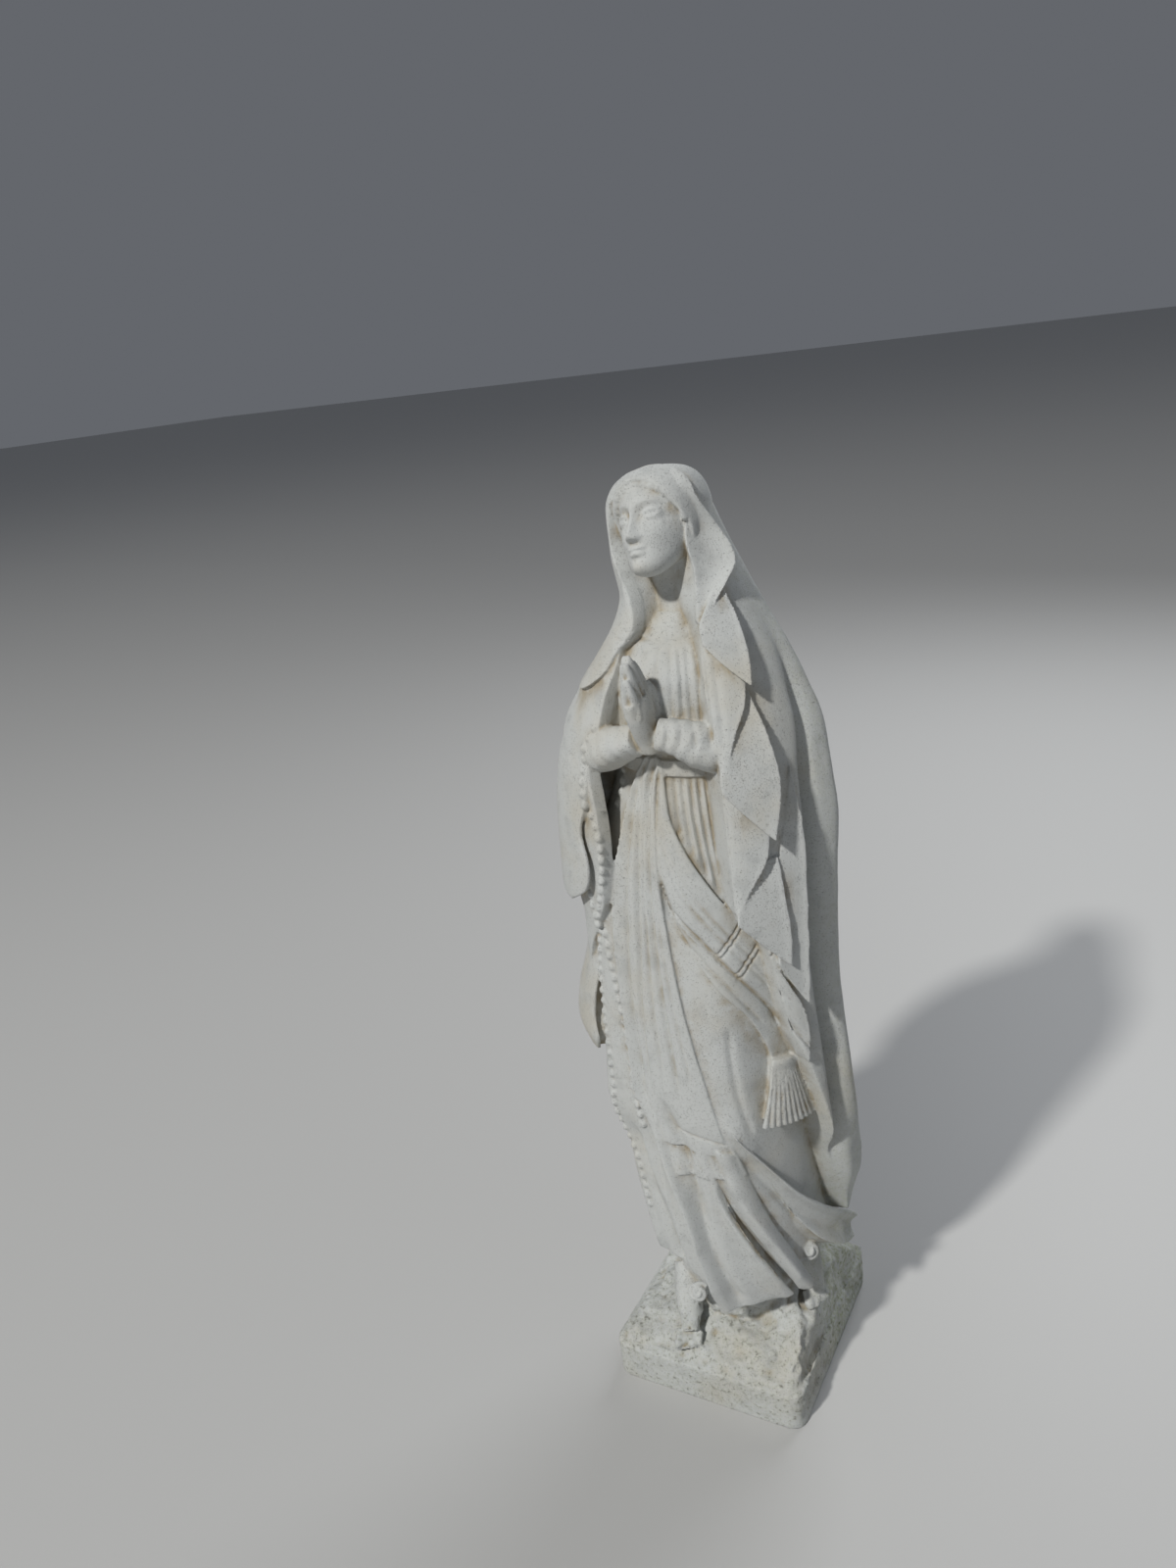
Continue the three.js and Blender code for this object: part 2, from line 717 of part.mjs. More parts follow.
function beadsOn(body) {
  const carvedMesh = new THREE.Mesh(surfaceOf(body), new THREE.MeshBasicMaterial());
  carvedMesh.geometry.computeBoundingSphere();
  const caster = new THREE.Raycaster();
  const radius = beadDiameter / 2;
  const seat = (angle, z, clear) => {
    const outside = placed(dress(angle, z, clear));
    const axis = placed(vector(0, 0, z));
    caster.set(outside, axis.sub(outside).normalize());
    const [hit] = caster.intersectObject(carvedMesh);
    const point = hit ? hit.point : placed(dress(angle, z));
    return point.addScaledVector(caster.ray.direction, -0.25 * radius);
  };
  return beadRoutes.flatMap(({ clear, route }) => {
    const points = route.map(([angle, z]) => seat(angle, z, clear));
    const string = new THREE.CatmullRomCurve3(points, false, "centripetal");
    const count = Math.max(1, Math.round(string.getLength() / beadPitch));
    const flat = new THREE.CatmullRomCurve3(
      route.map(([angle, z]) => vector(angle, z, 0)),
      false,
      "centripetal",
    );
    return span(count).map((u) => {
      const at = flat.getPoint(string.getUtoTmapping(u));
      const bead = new THREE.OctahedronGeometry(radius, 0);
      bead.rotateY(0.4);
      bead.translate(...seat(at.x, at.y, clear).toArray());
      return solid(bead);
    });
  });
}

// Her feet stand under the hem, each with a rose on the instep.
const roseRadius = 12;
const rightFoot = [
  [-26, -62, 160],
  [-22, -84, 148],
  [-22, -104, 124],
  [-22, -120, 98],
  [-23, -128, 82],
];
const leftFoot = [
  [72, -10, 178],
  [88, -30, 166],
  [100, -44, 148],
  [106, -52, 122],
  [108, -54, 104],
];
const roses = [[-8, -116, 138], [104, -62, 170]];

function feet() {
  const foot = (centres, radii) => limb(centres.map((p) => vector(...p)), radii, 10);
  const flowers = roses.map((p) => {
    const flower = new THREE.DodecahedronGeometry(roseRadius * share, 0);
    flower.translate(...placed(vector(...p)).toArray());
    return solid(flower);
  });
  return [
    foot(rightFoot, [28, 30, 28, 22, 13, 6]),
    foot(leftFoot, [26, 27, 25, 20, 13, 6]),
    ...flowers,
  ];
}

// The block: a straight band with rounded corners, a small ledge, then rough rock that rises gently
// in front and steeply on her left.
function blockOutline(inset) {
  const wide = blockWidth / 2 - inset;
  const deep = blockDepth / 2 - inset;
  const round = cornerRadius + 0.8 * inset;
  const corners = [[1, 1], [-1, 1], [-1, -1], [1, -1]];
  return corners.flatMap(([x, y], k) => {
    const [nextX, nextY] = corners[(k + 1) % 4];
    const arc = span(3).map((u) => {
      const turn = (k + u) * (Math.PI / 2);
      return vector(
        x * (wide - round) + round * Math.cos(turn),
        y * (deep - round) + round * Math.sin(turn),
        0,
      );
    });
    const turn = (k + 1) * (Math.PI / 2);
    const start = arc[3];
    const end = vector(
      nextX * (wide - round) + round * Math.cos(turn),
      nextY * (deep - round) + round * Math.sin(turn),
      0,
    );
    const side = [1, 2, 3].map((i) => start.clone().lerp(end, i / 4));
    return [...arc, ...side];
  });
}

const rockRise = track([
  [-180, 1.0],
  [-90, 0.85],
  [-20, 0.8],
  [34, 0.86],
  [52, 1.2],
  [72, 1.6],
  [120, 1.5],
  [150, 1.05],
  [180, 1.0],
]);
const rockSteepness = track([
  [-180, 0.8],
  [-20, 0.9],
  [38, 0.7],
  [54, 0.25],
  [120, 0.2],
  [150, 0.7],
  [180, 0.8],
]);

function block() {
  const rockReach = 62; // from the ledge to her feet
  const ledge = 5;
  const roughness = 2.2;
  const bandLip = 3;
  const band = (inset, height) => blockOutline(inset).map((p) => p.setZ(height));
  const rock = [0, 0.12, 0.3, 0.5, 0.72, 1].map((t, level) =>
    blockOutline(ledge + rockReach * t).map((p) => {
      const turn = Math.atan2(p.x, -p.y);
      const [rise] = rockRise(turn / degree);
      const [steep] = rockSteepness(turn / degree);
      const swing = Math.sin(turn * 7 + level * 2.1) + 0.6 * Math.sin(turn * 13 - level * 3.7);
      const out = t > 0 ? roughness * swing : 0;
      const height = ledgeHeight + (blockHeight - ledgeHeight) * rise * t ** steep + 0.6 * out;
      return vector(p.x + out * Math.sin(turn), p.y - out * Math.cos(turn), height);
    }),
  );
  const straight = [band(0, 0), band(0, ledgeHeight - bandLip), band(ledge, ledgeHeight - 1)];
  return loft([...straight, ...rock.slice(1)], (p) => p);
}

function surfaceOf(body) {
  const made = body.getMesh();
  const surface = new THREE.BufferGeometry();
  surface.setAttribute("position", new THREE.BufferAttribute(made.vertProperties, 3));
  surface.setIndex(new THREE.BufferAttribute(made.triVerts, 1));
  return surface;
}
const join = (pieces) => pieces.reduce((sum, piece) => sum.add(piece));

const carved = join([
  dressBody(),
  cloakBody(),
  ...leftFall(),
  ...rightFall(),
  ...sash(),
  ...skirt(),
  headBody(),
  hair(),
  ...neck(),
  ...arms(),
  ...feet(),
  block(),
]);
const whole = join([carved, ...beadsOn(carved)]);

const stone = new THREE.MeshStandardMaterial({ color: 0xd9d8d2, roughness: 0.92, metalness: 0 });
const statue = new THREE.Mesh(surfaceOf(whole), stone);
statue.name = "praying_figure";

const part = new THREE.Group();
part.add(statue);
export default part;
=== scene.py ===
"""A praying woman cast in one piece of pale stone with the rocky block under her feet.

The carving is drawn in millimetres, as in the solid: +Z up, she faces -Y, and her left is +X.
"""

import math

import bpy
import numpy as np
from mathutils import Matrix, Vector
from mathutils.bvhtree import BVHTree


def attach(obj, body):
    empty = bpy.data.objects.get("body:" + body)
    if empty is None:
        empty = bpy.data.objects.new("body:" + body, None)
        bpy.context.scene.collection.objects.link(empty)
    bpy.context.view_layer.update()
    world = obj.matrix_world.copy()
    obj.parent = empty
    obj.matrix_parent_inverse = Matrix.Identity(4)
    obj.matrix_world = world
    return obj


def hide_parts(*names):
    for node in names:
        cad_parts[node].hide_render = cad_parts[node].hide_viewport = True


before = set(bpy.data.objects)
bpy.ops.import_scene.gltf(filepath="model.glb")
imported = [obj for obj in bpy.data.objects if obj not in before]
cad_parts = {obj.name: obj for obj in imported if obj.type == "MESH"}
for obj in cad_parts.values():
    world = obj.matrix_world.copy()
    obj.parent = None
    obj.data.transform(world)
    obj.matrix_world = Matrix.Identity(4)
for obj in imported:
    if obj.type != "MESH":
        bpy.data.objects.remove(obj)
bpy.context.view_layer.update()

MILLIMETRE = 0.001
BLOCK_WIDTH = 222
BLOCK_DEPTH = 244
BLOCK_HEIGHT = 95
LEDGE_HEIGHT = 46
CORNER_RADIUS = 16
FIGURE_HEIGHT = 1000
CLOAK_TOP = 994
DRESS_TOP = 872
STEM_INSET = 17.0
CLOAK_THICKNESS = 13
HEM_THICKNESS = 3.6
CORE_RADIUS = 18
BEAD_DIAMETER = 8.4
BEAD_PITCH = 12
VOXEL = 1.15
MOST_TRIANGLES = 194000


# Curves


def bell(x):
    return np.exp(-x * x)


def ease(x):
    x = np.clip(x, 0, 1)
    return x * x * (3 - 2 * x)


def share_of(count):
    """Even steps from 0 to 1."""
    return np.linspace(0, 1, count + 1)


def run_along(points):
    """How far along their line each point lies."""
    steps = np.linalg.norm(np.diff(points, axis=0), axis=1)
    return np.concatenate([[0], np.cumsum(steps)])


def track(stations):
    """A smooth curve through stations [place, value, value, ...], level at each turning point."""
    table = np.array(stations, float)
    places, values = table[:, 0], table[:, 1:]
    gaps = np.diff(places)
    slopes = np.diff(values, axis=0) / gaps[:, None]
    tangents = np.zeros_like(values)
    tangents[0], tangents[-1] = slopes[0], slopes[-1]
    before, after = slopes[:-1], slopes[1:]
    same_way = before * after > 0
    total = np.where(same_way, before + after, 1)
    tangents[1:-1] = np.where(same_way, 2 * before * after / total, 0)

    def at(place):
        place = np.clip(np.asarray(place, float), places[0], places[-1])
        i = np.clip(np.searchsorted(places, place, side="left") - 1, 0, len(places) - 2)
        t = ((place - places[i]) / gaps[i])[..., None]
        gap = gaps[i][..., None]
        rise = (values[i + 1] - values[i]) * t * t * (3 - 2 * t)
        leave = t * (1 - t) ** 2 * gap * tangents[i]
        arrive = t * t * (t - 1) * gap * tangents[i + 1]
        return values[i] + rise + leave + arrive

    return at


def bent(points):
    """A curve from 0 to 1 through points, each stretch the same share of the way."""
    p = np.array(points, float)
    p = np.vstack([2 * p[0] - p[1], p, 2 * p[-1] - p[-2]])
    gaps = np.maximum(np.sqrt(np.linalg.norm(np.diff(p, axis=0), axis=1)), 1e-6)

    def at(t):
        t = np.clip(np.asarray(t, float), 0, 1) * (len(p) - 3)
        i = np.minimum(t.astype(int), len(p) - 4)
        w = (t - i)[..., None]
        x0, x1, x2, x3 = p[i], p[i + 1], p[i + 2], p[i + 3]
        d0, d1, d2 = (gaps[i + k][..., None] for k in range(3))
        out = (x1 - x0) / d0 - (x2 - x0) / (d0 + d1) + (x2 - x1) / d1
        into = (x2 - x1) / d1 - (x3 - x1) / (d1 + d2) + (x3 - x2) / d2
        curve = (2 * w**3 - 3 * w**2 + 1) * x1 + (3 * w**2 - 2 * w**3) * x2
        return curve + (w**3 - 2 * w**2 + w) * d1 * out + (w**3 - w**2) * d1 * into

    return at


def evenly(curve, count):
    """Points at even steps along a curve."""
    fine = share_of(400)
    run = run_along(curve(fine))
    return curve(np.interp(share_of(count) * run[-1], run, fine))


# Closed bodies

clay_points = []
clay_faces = []


def add_body(points, triangles):
    """Adds a closed body, turned so that its faces point out."""
    points = points.reshape(-1, 3)
    a, b, c = (points[triangles[:, k]] for k in range(3))
    if np.einsum("ij,ij->", a, np.cross(b, c)) < 0:
        triangles = triangles[:, ::-1]
    first = sum(len(p) for p in clay_points)
    clay_points.append(points)
    clay_faces.append(triangles + first)


def quads(a, b, c, d):
    a, b, c, d = (x.ravel() for x in (a, b, c, d))
    return np.concatenate([np.stack([a, b, c], 1), np.stack([a, c, d], 1)])


def loft(rings):
    """A closed body from rings of points, each end closed by a fan."""
    rows, n = rings.shape[:2]
    number = np.arange(rows * n).reshape(rows, n)
    after = np.roll(number, -1, axis=1)
    sides = quads(number[:-1], after[:-1], after[1:], number[1:])
    ends = [rings[0].mean(0), rings[-1].mean(0)]
    foot = np.stack([np.full(n, rows * n), after[0], number[0]], 1)
    top = np.stack([np.full(n, rows * n + 1), number[-1], after[-1]], 1)
    add_body(np.vstack([rings.reshape(-1, 3), ends]), np.concatenate([sides, foot, top]))


def slab(outer, inner):
    """A closed sheet between an outer and an inner grid of points."""
    rows, n = outer.shape[:2]
    front = np.arange(rows * n).reshape(rows, n)
    back = front + rows * n
    faces = [
        quads(front[:-1, :-1], front[:-1, 1:], front[1:, 1:], front[1:, :-1]),
        quads(back[:-1, :-1], back[1:, :-1], back[1:, 1:], back[:-1, 1:]),
        quads(front[:-1, 0], front[1:, 0], back[1:, 0], back[:-1, 0]),
        quads(front[1:, -1], front[:-1, -1], back[:-1, -1], back[1:, -1]),
        quads(front[0, 1:], front[0, :-1], back[0, :-1], back[0, 1:]),
        quads(front[-1, :-1], front[-1, 1:], back[-1, 1:], back[-1, :-1]),
    ]
    add_body(np.concatenate([outer.reshape(-1, 3), inner.reshape(-1, 3)]), np.concatenate(faces))


def limb(centres, radii, rings=60, sides=48, swell=None):
    """A round limb along a curve, with swell(along, turn) added to its radius."""
    along = share_of(rings)
    places = evenly(bent(centres), rings)
    heading = np.gradient(places, axis=0)
    heading /= np.linalg.norm(heading, axis=1)[:, None]
    side = np.cross(heading[0], [0.3, 0.5, 0.8])
    frames = []
    for way in heading:
        side = side - way * side.dot(way)
        side = side / np.linalg.norm(side)
        frames.append((side, np.cross(way, side)))
    radius = track([[k / (len(radii) - 1), r] for k, r in enumerate(radii)])(along)
    turn = 2 * np.pi * share_of(sides)[:-1]
    if swell:
        radius = radius + swell(along[:, None], turn[None, :])
    first = np.array([f[0] for f in frames])[:, None]
    second = np.array([f[1] for f in frames])[:, None]
    spread = first * np.cos(turn)[None, :, None] + second * np.sin(turn)[None, :, None]
    loft(places[:, None] + spread * np.broadcast_to(radius, (rings + 1, sides))[..., None])


def ball(centre, radii, detail=24):
    """A smooth ball or egg."""
    tilt = np.pi * share_of(detail)[1:-1]
    turn = 2 * np.pi * share_of(2 * detail)[:-1]
    ring = np.stack([np.outer(np.sin(tilt), np.cos(turn)),
                     np.outer(np.sin(tilt), np.sin(turn)),
                     np.outer(np.cos(tilt), np.ones_like(turn))], -1)
    loft(np.asarray(centre) + ring * np.asarray(radii))


# The skins of dress and cloak

# Each is a plan outline at every height: half width to her right and left, depth in front and
# behind, and how far its middle stands to her left.
dress_plan = track([
    [60, 80, 88, 84, 80, 4], [110, 86, 94, 92, 86, 4], [160, 96, 100, 102, 92, 4],
    [220, 104, 98, 105, 92, 2], [290, 113, 96, 104, 90, 1], [400, 112, 94, 98, 86, 0],
    [500, 109, 92, 92, 82, 0], [600, 99, 88, 86, 78, 0], [680, 87, 80, 78, 72, 0],
    [732, 76, 74, 71, 66, 0], [770, 80, 80, 78, 68, 0], [812, 82, 84, 78, 68, 0],
    [842, 66, 68, 64, 60, 0], [858, 42, 44, 50, 48, 3], [872, 30, 32, 36, 36, 4],
])
cloak_plan = track([
    [110, 96, 120, 96, 104, 2], [190, 104, 127, 98, 106, 2], [255, 114, 136, 100, 104, 2],
    [320, 124, 136, 100, 100, 0], [400, 138, 133, 102, 96, 0], [450, 142, 130, 103, 95, 0],
    [500, 137, 128, 104, 94, 0], [550, 135, 129, 104, 94, 0], [600, 141, 131, 105, 94, 0],
    [669, 143, 134, 106, 92, 0], [720, 140, 128, 106, 88, 0], [760, 130, 122, 102, 84, 0],
    [800, 106, 108, 94, 80, 0], [832, 85, 92, 80, 76, 3], [868, 66, 72, 63, 70, 5],
    [890, 58, 64, 57, 66, 2], [912, 58, 58, 55, 64, -2], [940, 54, 51, 52, 62, -8],
    [965, 51, 44, 48, 56, -11], [983, 42, 33, 40, 44, -13], [994, 27, 20, 27, 28, -14],
    [1000, 8, 7, 8, 8, -14],
])


def radius_of(plan, angle, z):
    right, left, front, behind, _ = np.moveaxis(plan(z), -1, 0)
    side, face = np.sin(np.radians(angle)), np.cos(np.radians(angle))
    wide = np.where(side < 0, right, left)
    deep = np.where(face > 0, front, behind)
    return 1 / np.hypot(side / wide, face / deep)


def fold(route, depth, width):
    """A fold down a skin: [height, angle] from the foot up, how far it stands out and its width."""
    return track(route), route[0][0], route[-1][0], depth, width


cloak_folds = [
    fold([[180, 96], [300, 86], [511, 80], [600, 76], [702, 78], [840, 90]], -20, 8),
    fold([[180, 112], [400, 92], [600, 89], [836, 100], [930, 112]], 9, 12),
    fold([[150, 122], [500, 106], [860, 112]], -8, 8),
    fold([[120, 136], [500, 122], [900, 124]], 8, 13),
    fold([[120, 150], [500, 138], [880, 138]], -7, 9),
    fold([[120, 166], [500, 156], [900, 152]], 8, 14),
    fold([[120, 180], [500, 172], [860, 168]], -7, 10),
    fold([[120, -164], [500, -170], [900, -170]], 8, 13),
    fold([[130, -148], [500, -153], [840, -156]], -7, 9),
    fold([[140, -132], [500, -136], [880, -138]], 8, 13),
    fold([[170, -116], [500, -121], [800, -124]], -6, 9),
    fold([[240, -100], [500, -104], [820, -108]], 6, 12),
]
dress_folds = [
    fold([[130, -30], [250, -42], [420, -52]], 5, 9),
    fold([[120, -10], [260, -22], [480, -32]], -4, 7),
    fold([[330, 34], [460, 30], [560, 22]], 7, 26),
    fold([[330, -46], [420, -50], [520, -52], [600, -52], [700, -54]], 18, 30),
]


def relief(folds, angle, z, radius):
    """How far the folds lift a skin there, each fading out at both its ends."""
    total = np.zeros(np.broadcast(angle, z).shape)
    for route, foot, top, depth, width in folds:
        turn = (angle - route(z)[..., 0] + 540) % 360 - 180
        t = (z - foot) / (top - foot)
        fade = ease((t + 0.1) / 0.2) * ease((1.05 - t) / 0.3)
        total = total + depth * fade * bell(np.radians(turn) * radius / width)
    return total


def on_skin(plan, folds, angle, z, lift=0.0):
    angle, z, lift = np.broadcast_arrays(np.asarray(angle, float), np.asarray(z, float), lift)
    base = radius_of(plan, angle, z)
    radius = base + relief(folds, angle, z, base) + lift
    middle = plan(z)[..., 4]
    turn = np.radians(angle)
    return np.stack([middle + radius * np.sin(turn), -radius * np.cos(turn), z], -1)


def dress(angle, z, lift=0.0):
    return on_skin(dress_plan, dress_folds, angle, z, lift)


def cloak(angle, z, lift=0.0):
    return on_skin(cloak_plan, cloak_folds, angle, z, lift)


# The hems, by angle from the front towards her left.
dress_hem = track([
    [-180, 120], [-100, 130], [-60, 152], [-30, 170], [-8, 158], [8, 132], [30, 126],
    [52, 138], [66, 160], [100, 150], [140, 128], [180, 120],
])
cloak_hem = track([
    [-180, 150], [-130, 176], [-100, 300], [-78, 388], [-60, 396], [0, 396], [60, 300],
    [88, 196], [130, 168], [180, 150],
])
# The cloak is open in front between two edges, as angles by height.
right_edge = track([
    [100, -102], [380, -74], [480, -68], [520, -60], [560, -47], [600, -37], [674, -34],
    [740, -37], [775, -31], [822, -29], [841, -30], [860, -23], [885, -30], [905, -41],
    [935, -53], [965, -51], [983, -34], [994, -12],
])
left_edge = track([
    [100, 106], [190, 100], [250, 91], [330, 79], [418, 68], [455, 61], [509, 56], [551, 52],
    [582, 42], [600, 37], [725, 36], [850, 33], [870, 33], [905, 41], [921, 45], [957, 50],
    [983, 34], [994, 8],
])
# It hangs clear behind its right-hand edge, from the sleeve to the thigh.
hollow_reach = track([[560, 0], [620, 24], [735, 34], [772, 0]])


def skin_body(skin, foot, top, angles, rows):
    """A closed body with that skin, from its foot at each angle up to its top."""
    z = foot + (top - foot) * share_of(rows)[:, None]
    loft(skin(np.broadcast_to(angles, z.shape[:1] + angles.shape), z))


def dress_body():
    """The dress, and a plain stem inside its hem that stands in the block."""
    angles = np.arange(-180, 180, 0.7)
    skin_body(dress, dress_hem(angles)[None, :, 0], DRESS_TOP, angles, 560)
    stem = np.arange(-180, 180, 6.0)
    heights = np.array([55.0, 130, 190])[:, None]
    loft(dress(np.broadcast_to(stem, (3, len(stem))), heights, -STEM_INSET))


def cloak_body():
    """The cloak from its left edge round her back to its right edge, with walls in to the core."""
    v = share_of(620)[:, None]
    u = share_of(520)[None, :]
    z = np.broadcast_to(150 + (CLOAK_TOP - 150) * v, (len(v), u.size))
    # Its edges go by the height and its height by the hem, so the two settle in turns.
    for _ in range(30):
        start, end = left_edge(z)[..., 0], right_edge(z)[..., 0] + 360
        angle = start + (end - start) * u
        foot = cloak_hem((angle + 180) % 360 - 180)[..., 0]
        z = foot + (CLOAK_TOP - foot) * v
    outer = cloak(angle, z)

    def wall(column, angles, radii):
        height = z[:, column][:, None] + 0 * radii
        middle = cloak_plan(height)[..., 4]
        turn = np.radians(angles)
        return np.stack([middle + radii * np.sin(turn), -radii * np.cos(turn), height], -1)

    def radius_at(column):
        x = outer[:, column, 0] - cloak_plan(z[:, column])[..., 4]
        return np.hypot(x, outer[:, column, 1])[:, None]

    inward = share_of(24)[None, 1:]
    first = radius_at(0)
    left_wall = wall(0, angle[:, :1],
                     CORE_RADIUS + (first - CORE_RADIUS) * inward[:, ::-1][:, 1:])
    last = radius_at(-1)
    edge = angle[:, -1:]
    reach = hollow_reach(z[:, -1])
    lining = np.maximum(last - CLOAK_THICKNESS, CORE_RADIUS)
    lip = wall(-1, edge, last - (last - lining) * share_of(6)[None, 1:])
    round_back = share_of(16)[None, 1:]
    back = wall(-1, edge - reach * round_back, lining + 0 * round_back)
    deep = wall(-1, edge - reach - 1 + 0 * inward, lining + (CORE_RADIUS - lining) * inward)
    loft(np.concatenate([left_wall[:, :-1], outer, lip, back, deep], axis=1))
    cap = np.arange(-180, 180, 4.0)
    heights = np.linspace(CLOAK_TOP - 3, FIGURE_HEIGHT, 10)[:, None]
    loft(cloak(np.broadcast_to(cap, (10, len(cap))), heights))


def laid(skin, edge_a, edge_b, swell=None, sink=12, across=40, down=130, under=0.14):
    """Cloth as thick as a hem, laid on a skin between two edges of [angle, height, lift]. The
    padding that joins it to the body is narrower by the share under, so that the rims overhang."""
    u = share_of(across)[None, :]
    v = share_of(down)[:, None]

    def place(u, v, drop):
        first, second = bent(edge_a)(v[:, 0])[:, None], bent(edge_b)(v[:, 0])[:, None]
        angle, z, lift = np.moveaxis(first * (1 - u[..., None]) + second * u[..., None], -1, 0)
        raised = swell(u, v) if swell else 0
        if drop is None:
            return skin(angle, z, np.minimum(lift, 0) - sink)
        return skin(angle, z, lift + raised - drop)

    slab(place(u, v, 0), place(u, v, HEM_THICKNESS))
    inner_u = 0.5 + (u - 0.5) * (1 - under)
    inner_v = v * (1 - 0.25 * under)
    slab(place(inner_u, inner_v, 1), place(inner_u, inner_v, None))


def crown(height):
    return lambda u, v: height * np.sin(np.pi * u)


def left_fall():
    """The edge of the veil falls down her left in a zigzag."""

    def hung(height):
        return lambda u, v: height * np.sin(np.pi * u) + 1.6 * bell((1 - u) / 0.09) * ease(4 * v)

    folds = [
        [[[57, 899, 4], [44, 885, 9], [33, 867, 12], [33, 851, 15]],
         [[60, 900, 6], [58, 872, 13], [56, 842, 18], [53, 814, 20]]],
        [[[47, 801, 4], [42, 768, 7], [35, 737, 11], [35, 722, 14]],
         [[55, 808, 6], [57, 768, 12], [58, 727, 16], [53, 674, 19]]],
        [[[50, 648, 2], [43, 620, 6], [38, 602, 9], [37, 590, 12]],
         [[57, 652, 5], [58, 610, 10], [59, 570, 13], [58, 540, 15]]],
        [[[57, 640, 3], [56, 590, 7], [55, 560, 8], [54, 541, 10]],
         [[68, 734, 3], [68, 640, 9], [67, 560, 12], [66, 491, 13]]],
    ]
    for inner, outer in folds:
        laid(cloak, inner, outer, hung(-1.5), across=60)
    returns = [
        [[[34, 850, 3], [35, 815, 4], [35, 772, 5], [36, 732, 7]],
         [[53, 815, 12], [50, 797, 11], [44, 774, 10], [37, 733, 8]]],
        [[[37, 717, 1], [38, 690, 2], [37, 640, 3], [37, 598, 5]],
         [[53, 676, 10], [51, 652, 9], [46, 630, 8], [38, 599, 6]]],
        [[[54, 540, 0], [56, 509, 1], [60, 465, 2], [66, 421, 4]],
         [[64, 493, 7], [66, 474, 7], [67, 447, 7], [66, 421, 5]]],
    ]
    for inner, outer in returns:
        laid(cloak, inner, outer, hung(1.5), across=50)


def right_fall():
    """On her right: a short cape over the shoulder, a long lappet and one more tongue below it."""
    laid(cloak,
         [[-30, 886, 0], [-24, 862, 2], [-31, 842, 4], [-36, 822, 5], [-50, 806, 6],
          [-66, 802, 2]],
         [[-44, 900, 0], [-48, 886, 0], [-54, 872, 1], [-60, 856, 1], [-68, 838, 0],
          [-76, 826, -2]],
         crown(1))
    laid(cloak,
         [[-37, 738, 0], [-39, 700, 4], [-44, 666, 7], [-40, 634, 9], [-43, 606, 11],
          [-58, 583, 13]],
         [[-104, 738, 0], [-106, 690, 5], [-107, 650, 8], [-106, 620, 11], [-102, 596, 13],
          [-92, 584, 14]],
         crown(1), across=110)
    laid(cloak,
         [[-47, 600, -9], [-50, 570, -11], [-53, 540, -11], [-54, 514, -9]],
         [[-94, 612, -2], [-96, 570, -1], [-98, 535, 0], [-99, 502, 2]],
         crown(2), across=80)
    laid(cloak,
         [[-56, 524, -8], [-57, 482, 1], [-58, 444, 6], [-56, 416, 8], [-62, 397, 6]],
         [[-106, 520, 0], [-104, 482, 8], [-101, 450, 18], [-98, 430, 22], [-93, 396, 12]],
         crown(3), across=80)


def sash():
    """A knotted sash: a belt, and two long ends from its middle."""
    laid(dress, [[-46, 742, 2], [-46, 727, 2]], [[52, 740, 2], [52, 723, 2]],
         lambda u, v: 1 + 0 * u * v, across=120, down=20)
    laid(dress,
         [[-12, 744, 3], [-25, 716, 5], [-35, 642, 5], [-38, 560, 5], [-36, 470, 5],
          [-32, 385, 5], [-24, 330, 4]],
         [[0, 744, 4], [-5, 716, 5], [-6, 640, 5], [-2, 565, 4], [5, 480, 4], [15, 395, 3],
          [24, 320, 2]],
         lambda u, v: 1.8 * np.cos(4 * np.pi * u + 2 * v) * (1 - u * v), down=300, across=60)
    laid(dress,
         [[-2, 740, 3], [-5, 700, 3], [-6, 640, 4], [2, 590, 5], [22, 550, 6], [42, 508, 7],
          [64, 454, 8]],
         [[1, 738, 4], [4, 690, 5], [13, 655, 6], [25, 622, 7], [42, 580, 7], [56, 540, 8],
          [76, 470, 8]],
         crown(1.5), down=260)
    laid(dress,
         [[2, 590, 1], [12, 552, 2], [26, 512, 3], [42, 476, 4], [52, 440, 5], [56, 408, 6]],
         [[8, 588, 3], [24, 548, 4], [42, 508, 5], [56, 474, 6], [66, 445, 7], [70, 410, 8]],
         down=180)

    def threads(u, v):
        lines = np.abs(np.sin(10.5 * np.pi * u + 1.2 * np.sin(3 * v)))
        knot = 1.8 * bell((v - 0.06) / 0.07)
        return 4 * np.sin(np.pi * u) - 3.4 * (1 - lines) ** 1.5 * ease(8 * v - 1.0) + knot

    laid(dress, [[53, 424, 9], [49, 392, 12], [42, 356, 15]],
         [[68, 420, 11], [74, 384, 16], [80, 345, 20]], threads, across=180, down=90)

    def fringe(u, v):
        lines = np.abs(np.sin(12.5 * np.pi * u + 2 * v))
        grooves = 2.0 * (1 - lines) ** 2 * ease(4 * v - 0.5)
        return 0.5 - grooves + 0.6 * np.sin(31 * u) * ease(5 * v - 4)

    laid(dress, [[-26, 354, 0], [-18, 320, 1], [-9, 290, 2]],
         [[24, 338, 0], [29, 318, 2], [33, 296, 4]], fringe, across=150, down=90)


